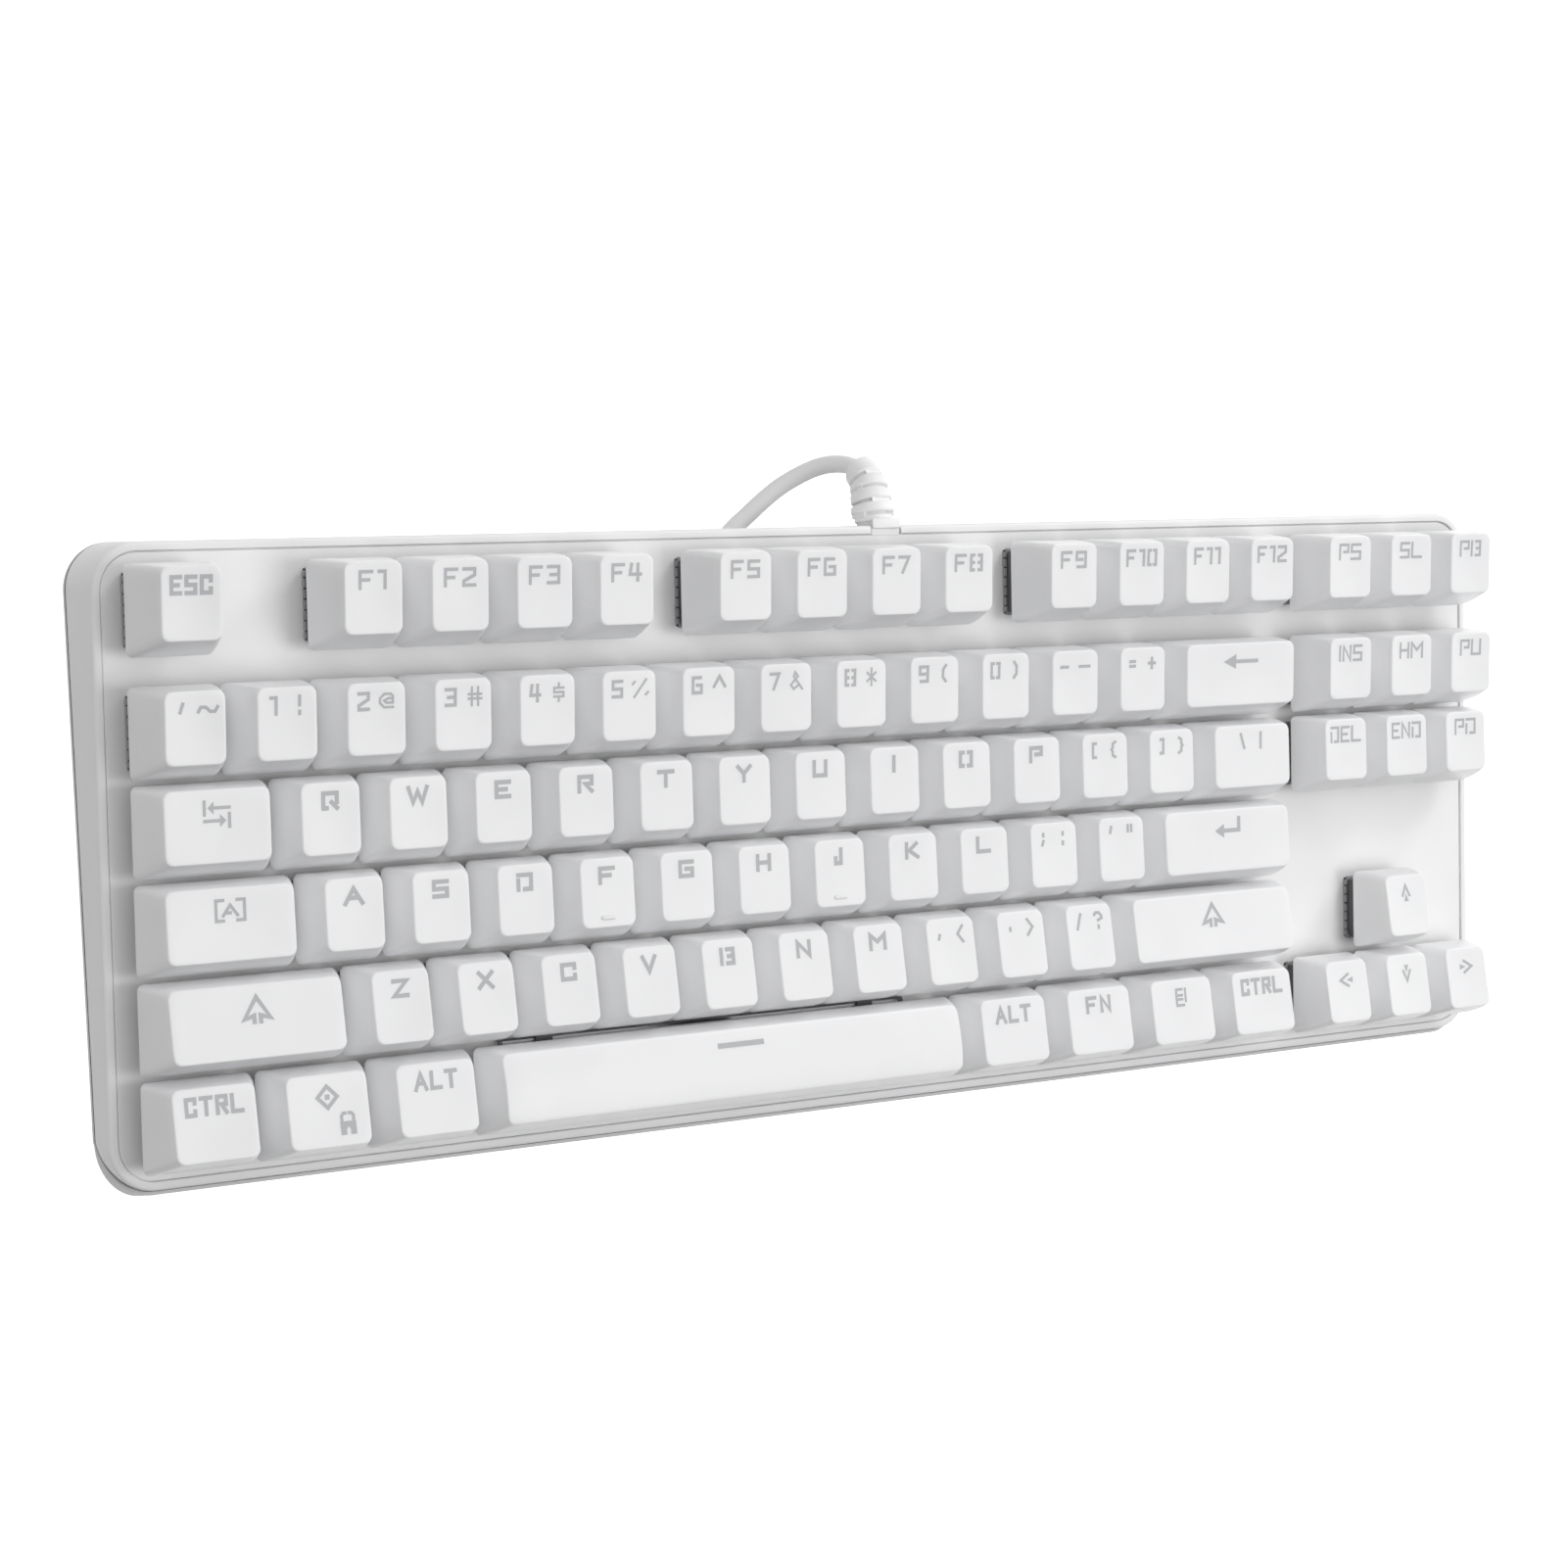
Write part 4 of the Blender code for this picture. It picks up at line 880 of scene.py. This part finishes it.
def make_plate():
    shape = bmesh.new()
    steps = [(-PLATE_THICKNESS, 0.05), (-0.5 * MM, 0.05), (-0.5 * MM, 0.22), (-0.07 * MM, 0.26), (0, 0.4)]
    loft(shape, [level(RIM_WIDTH + inset * MM, z) for z, inset in steps])
    plate = finished("painted_plate", shape, "plate", PLANE, 10)
    holes = bmesh.new()
    for x, y, _, _ in all_keys():
        box(holes, (-7.15, -7.15, -3), (7.15, 7.15, 1.5), at=(x, y, 0))
    carve(plate, holes, PLANE, smooth_angle=10)
    piece(plate, "case", "plate", "switch_plate")


def make_tray():
    """The lower shell: a flat base, a rounded belly, and a front lip with a groove under the rim."""
    shape = bmesh.new()
    loops = [level(TRAY_INSET, base_height)]
    for share in (0.25, 0.5, 0.75):
        bulge = BELLY_BULGE * math.sin(share * math.pi)
        drop = TRAY_DROP + (BELT_DROP - TRAY_DROP) * share + bulge
        inset = TRAY_INSET * (1 - share) - bulge
        loops.append(level(inset, lambda y: wall_bottom(y) - drop, FRONT_LIP * share))
    loops.append(level(0.1 * MM, lambda y: wall_bottom(y) - BELT_DROP - 0.2 * MM, FRONT_LIP))
    for share, lip in ((0, FRONT_LIP), (0.5, LIP_REACH), (0.85, LIP_REACH)):
        loops.append(level(0, lambda y: belt_height(y) + (seam(y) - FIT_GAP - belt_height(y)) * share, lip))
    for share, depth in ((0.9, 0.4), (0.38, 0.4), (0.3, 1.4)):
        loops.append(level(0.05 * MM, lambda y: seam(y) - depth * MM, LIP_REACH * share))
    loops += [level(inset, lambda y: seam(y) - 1.4 * MM) for inset in (0.6 * MM, TRAY_WALL)]
    loops.append(level(TRAY_INSET + 1.5 * MM, lambda y: base_height(y) + TRAY_FLOOR))
    loft(shape, loops)
    # The shell takes the tray material, whose darker tone is painted shade.
    tray = finished("tray_shell", shape, "tray", PLANE)
    for side in (-1, 1):
        place = PLANE @ Matrix.Translation((side * HINGE_X, HINGE_Y, base_height(HINGE_Y)))
        place @= Matrix.Rotation(-WEDGE, 4, "X")
        block = bmesh.new()
        box(block, (-15, -20.5, 0.5), (15, 6.2, 6.9))
        carve(tray, block, place, "UNION")
        pocket = bmesh.new()
        box(pocket, (-12, -17.5, -2), (12, 3.2, 5.3))
        box(pocket, (-4, -21, -2), (4, -17, 1.2))
        carve(tray, pocket, place)
    piece(tray, "case", "case", "bottom_tray")


def on_base(x, y):
    """A place on the tray's underside, its Z axis pointing out of the base."""
    place = PLANE @ Matrix.Translation((x, y, base_height(y)))
    return place @ Matrix.Rotation(-WEDGE + math.pi, 4, "X")


def make_screws():
    """Countersunk cross-head screws that hold the tray."""
    places = [on_base(x * MM, y * MM) for x in (-166, -56, 56, 166) for y in (-52, 20)]
    for index, place in enumerate(places):
        shape = bmesh.new()
        head = [(2.2, -0.2), (2.6, 0.1), (2.45, 0.35), (1.9, 0.5), (0.6, 0.55)]
        loft(shape, [[(x, y, z * MM) for x, y in round_points(radius * MM, 24)] for radius, z in head])
        screw = finished(f"tray_screw_{index + 1}", shape, "steel", place)
        for x, y in ((1.4, 0.25), (0.25, 1.4)):
            slot = bmesh.new()
            box(slot, (-x, -y, 0.1), (x, y, 1))
            carve(screw, slot, place)
        piece(screw, "case", "steel")


def make_clip():
    """The retainer in the rim's notch: a tab level with the plate and a lip over the strain relief."""
    inner, outer, lip = HALF_DEPTH - RIM_WIDTH - 0.3 * MM, HALF_DEPTH - 0.1 * MM, HALF_DEPTH + 1.6 * MM
    top, under_lip, bottom = 0.7 * MM, 0.2 * MM, -1.3 * MM
    profile = [(inner, bottom), (outer, bottom), (outer, under_lip), (lip, under_lip)]
    profile += [(lip, top - 0.15 * MM), (lip - 0.15 * MM, top), (outer - 0.4 * MM, top)]
    profile += [(outer - 0.6 * MM, RIM_TOP - 0.2 * MM), (inner, 0.1 * MM)]
    middle_y, middle_z = (inner + lip) / 2, (top + bottom) / 2
    shape = bmesh.new()
    loops = []
    for x, shrink in ((-3.6, 0.15), (-3.45, 0), (3.45, 0), (3.6, 0.15)):
        depth, height = 1 - shrink * MM / (lip - inner), 1 - shrink * MM / (top - bottom)
        ring = [(middle_y + (y - middle_y) * depth, middle_z + (z - middle_z) * height) for y, z in profile]
        loops.append([(OUTLET_X + x * MM, y, z) for y, z in ring])
    loft(shape, loops)
    piece(finished("outlet_clip", shape, "case", PLANE), "case", "case", "cable_clip")


def make_feet():
    """Open flip feet: a rounded knuckle, a ribbed leg, a rubber-soled tip and hinge pins."""
    for name in ("left", "right"):
        joint = next(j for j in frame["joints"] if j["name"] == f"flip_foot_{name}_fold")
        hinge = Vector(joint["pos_m"])
        lean = math.radians(10)
        along = Vector((math.sin(lean), -math.cos(lean)))
        aside = Vector((math.cos(lean), math.sin(lean)))
        sole = 0.9 * MM

        def shoulders(half, height, edges=(-1, 1)):
            """The leg's two edges at a height over the desk."""
            corners = [aside * edge * half for edge in edges]
            return [corner + along * ((hinge.z + corner.y - height) / -along.y) for corner in corners]

        def slab(shape, points, reach, surface=0):
            loops = []
            for x, shrink in ((-reach, 0.97), (-reach + 0.3 * MM, 1), (reach - 0.3 * MM, 1), (reach, 0.97)):
                loops.append([(x, y * shrink, z * (1 if surface else shrink)) for y, z in points])
            loft(shape, loops, material=surface)

        turns = [math.pi * i / 12 for i in range(13)]
        knuckle = [2.2 * MM * (aside * math.cos(turn) - along * math.sin(turn)) for turn in turns]
        shape = bmesh.new()
        slab(shape, [*knuckle, *shoulders(1.85 * MM, sole)], 11 * MM)
        rib = [*shoulders(2.15 * MM, 11 * MM, (1, -1)), *shoulders(2.15 * MM, 4 * MM)]
        for middle in (-6, 0, 6):
            loft(shape, [[(x * MM, y, z) for y, z in rib] for x in (middle - 0.5, middle + 0.5)])
        slab(shape, [*shoulders(1.6 * MM, sole, (1, -1)), *shoulders(1.6 * MM, 0)], 10.4 * MM, 1)
        pin = [(-13.2, 0.85), (-12.9, 1.1), (12.9, 1.1), (13.2, 0.85)]
        loft(shape, [[(x * MM, y, z) for y, z in round_points(radius * MM, 16)] for x, radius in pin])
        foot = finished(f"foot_{name}", shape, "foot rubber", Matrix.Translation(hinge))
        piece(foot, f"flip_foot_{name}", "foot", f"flip_foot_{name}")


def make_pads():
    """Rubber pads: two that carry the front, and two at the rear for use with the feet folded."""
    for name in ("left", "right"):
        low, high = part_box(f"front_pad_{name}")
        shape = bmesh.new()
        loops = []
        middle = (low + high) / 2
        for z, inset in ((0, 0.5), (0.15, 0.2), (0.45, 0), (1.0, 0), (1.0, 0.4)):
            inset *= MM
            ring = []
            sides = (low.x + inset, high.x - inset, low.y + inset, high.y - inset)
            for x, y in rounded_points(*sides, 3.5 * MM - inset, 6):
                slope = math.tan(PLANE_TILT - WEDGE) * (y - middle.y)
                ring.append((x, y, z * MM if z < 1 else middle.z * 2 - 0.5 * MM + slope))
            loops.append(ring)
        loft(shape, loops)
        piece(finished(f"pad_front_{name}", shape, "rubber"), "case", "rubber", f"front_pad_{name}")
    for side, name in ((-1, "left"), (1, "right")):
        shape = bmesh.new()
        loops = []
        for z, inset in ((-0.1, 0), (0.7, 0), (1.0, 0.3), (1.0, 0.9)):
            half_x, half_y = (9 - inset) * MM, (3 - inset) * MM
            points = rounded_points(-half_x, half_x, -half_y, half_y, (2.9 - inset) * MM, 5)
            loops.append([(x, y, z * MM) for x, y in points])
        loft(shape, loops)
        pad = finished(f"pad_rear_{name}", shape, "rubber", on_base(side * 112 * MM, 50 * MM))
        piece(pad, "case", "rubber")


def make_stabiliser_parts():
    """Housings and wires of the wide keys' stabilisers; the space bar's wire is the frame's own."""
    shape, wires = bmesh.new(), bmesh.new()
    for node, row, start, caps in KEY_NODES:
        for x, y, width, _ in keys_of(row, start, caps):
            if width < 1.9 * KEY_PITCH:
                continue
            if node == "key_space":
                for side in (-1, 1):
                    box(shape, (-2, 7.9, 0), (2, 8.1, 1.9), at=(x + side * 40 * MM, y, 0))
                    box(shape, (-2, 7.9, 1.9), (2, 9.7, 2.1), at=(x + side * 40 * MM, y, 0))
                continue
            for side in (-1, 1):
                middle = x + side * 11.95 * MM
                loops = []
                foot, body, top = (3.3, -6.2, 6.0), (2.8, -5.6, 5.2), (2.5, -4.6, 4.2)
                for z, (half, front, rear) in ((0, foot), (1.5, foot), (1.5, body), (5.2, top)):
                    corners = rounded_points(-half * MM, half * MM, front * MM, rear * MM, 0.5 * MM, 2)
                    loops.append([(middle + px, y + py, z * MM) for px, py in corners])
                loft(shape, loops)
            box(wires, (-12, -8.2, 0.4), (12, -6.9, 1.2), at=(x, y, 0))
    piece(finished("stabiliser_housings", shape, "housing", PLANE), "case", "housing")
    piece(finished("stabiliser_wires", wires, "wire", PLANE), "case", "steel")


def dress_frame_nodes():
    """Materials of the CAD nodes that stay in view."""
    for node, surface in (("circuit_board", "board"), ("space_stabiliser", "wire")):
        mesh = frame["nodes"][node].data
        mesh.materials.clear()
        mesh.materials.append(MATERIALS[surface])


# Stage.


def make_camera():
    data = bpy.data.cameras.new("camera")
    data.lens = CAMERA_LENS
    data.sensor_width = 36
    data.clip_end = 20
    camera = new_object("camera", data)
    right, forward = Vector(CAMERA_RIGHT), Vector(CAMERA_FORWARD)
    turn = Matrix((right, right.cross(forward), -forward)).transposed()
    camera.matrix_world = Matrix.Translation(CAMERA_PLACE) @ turn.to_4x4()
    bpy.context.scene.camera = camera


def make_light(name, place, target, size, power):
    data = bpy.data.lights.new(name, "AREA")
    data.shape = "DISK"
    data.size = size
    data.energy = power
    light = new_object(name, data)
    light.location = place
    light.rotation_mode = "QUATERNION"
    light.rotation_quaternion = (Vector(target) - Vector(place)).to_track_quat("-Z", "Y")
    light.visible_camera = False


def make_floor():
    """A white floor that turns up into a wall far away. It glows enough to show no shadow's edge."""
    made = bpy.data.materials.new("studio_floor")
    made.use_nodes = True
    shader = set_inputs(made.node_tree.nodes["Principled BSDF"], Base_Color=(0.9, 0.9, 0.9, 1), Roughness=0.9)
    set_inputs(shader, Specular_IOR_Level=0.1, Emission_Color=(1, 1, 1, 1), Emission_Strength=1.0)
    shape = bmesh.new()
    sides = 64
    rows = [[shape.verts.new((0, 0, 0))]]
    for radius, height in ((5, 0), (5.6, 0.25), (5.85, 0.85), (5.9, 4)):
        rows.append([shape.verts.new((x, y, height)) for x, y in round_points(radius, sides)])
    for i in range(sides):
        j = (i + 1) % sides
        shape.faces.new((rows[0][0], rows[1][i], rows[1][j]))
        for low, high in zip(rows[1:], rows[2:]):
            shape.faces.new((low[i], high[i], high[j], low[j]))
    floor = finished("floor", shape, "")
    floor.data.materials.append(made)
    floor.visible_diffuse = False


def make_studio():
    """A sky that pales towards the zenith, a soft light over the keyboard's right half and one behind it."""
    scene = bpy.context.scene
    scene.view_settings.view_transform = "Standard"
    scene.view_settings.gamma = 1.24
    world = bpy.data.worlds.new("studio")
    world.use_nodes = True
    nodes, links = world.node_tree.nodes, world.node_tree.links
    coordinates = nodes.new("ShaderNodeTexCoord")
    ramps = [((0.3, 0, 0.95), "Color", SKY_BY_HEIGHT), ((0, 1, 0), "Strength", SKY_BY_DEPTH)]
    for axis, socket, stops in ramps:
        along = nodes.new("ShaderNodeVectorMath")
        along.operation = "DOT_PRODUCT"
        along.inputs[1].default_value = axis
        share = nodes.new("ShaderNodeMapRange")
        share.inputs["From Min"].default_value = -1
        ramp = nodes.new("ShaderNodeValToRGB")
        for element, (position, tone) in zip(ramp.color_ramp.elements, (stops[0], stops[-1])):
            element.position = position
            element.color = (tone, tone, tone, 1)
        for position, tone in stops[1:-1]:
            ramp.color_ramp.elements.new(position).color = (tone, tone, tone, 1)
        links.new(coordinates.outputs["Generated"], along.inputs[0])
        links.new(along.outputs["Value"], share.inputs["Value"])
        links.new(share.outputs["Result"], ramp.inputs["Fac"])
        links.new(ramp.outputs["Color"], nodes["Background"].inputs[socket])
    scene.world = world
    make_light("key_light", (0.22, -0.2, 0.72), (0.1, 0, 0), 0.4, 1.5)
    make_light("rear_light", (0.6, 0.5, 0.55), (0.05, 0, 0), 0.3, 1.9)


def main():
    make_camera()
    make_cable()
    make_keys()
    make_switches()
    make_top_frame()
    make_plate()
    make_tray()
    make_screws()
    make_clip()
    make_feet()
    make_pads()
    make_stabiliser_parts()
    dress_frame_nodes()
    make_floor()
    make_studio()


main()
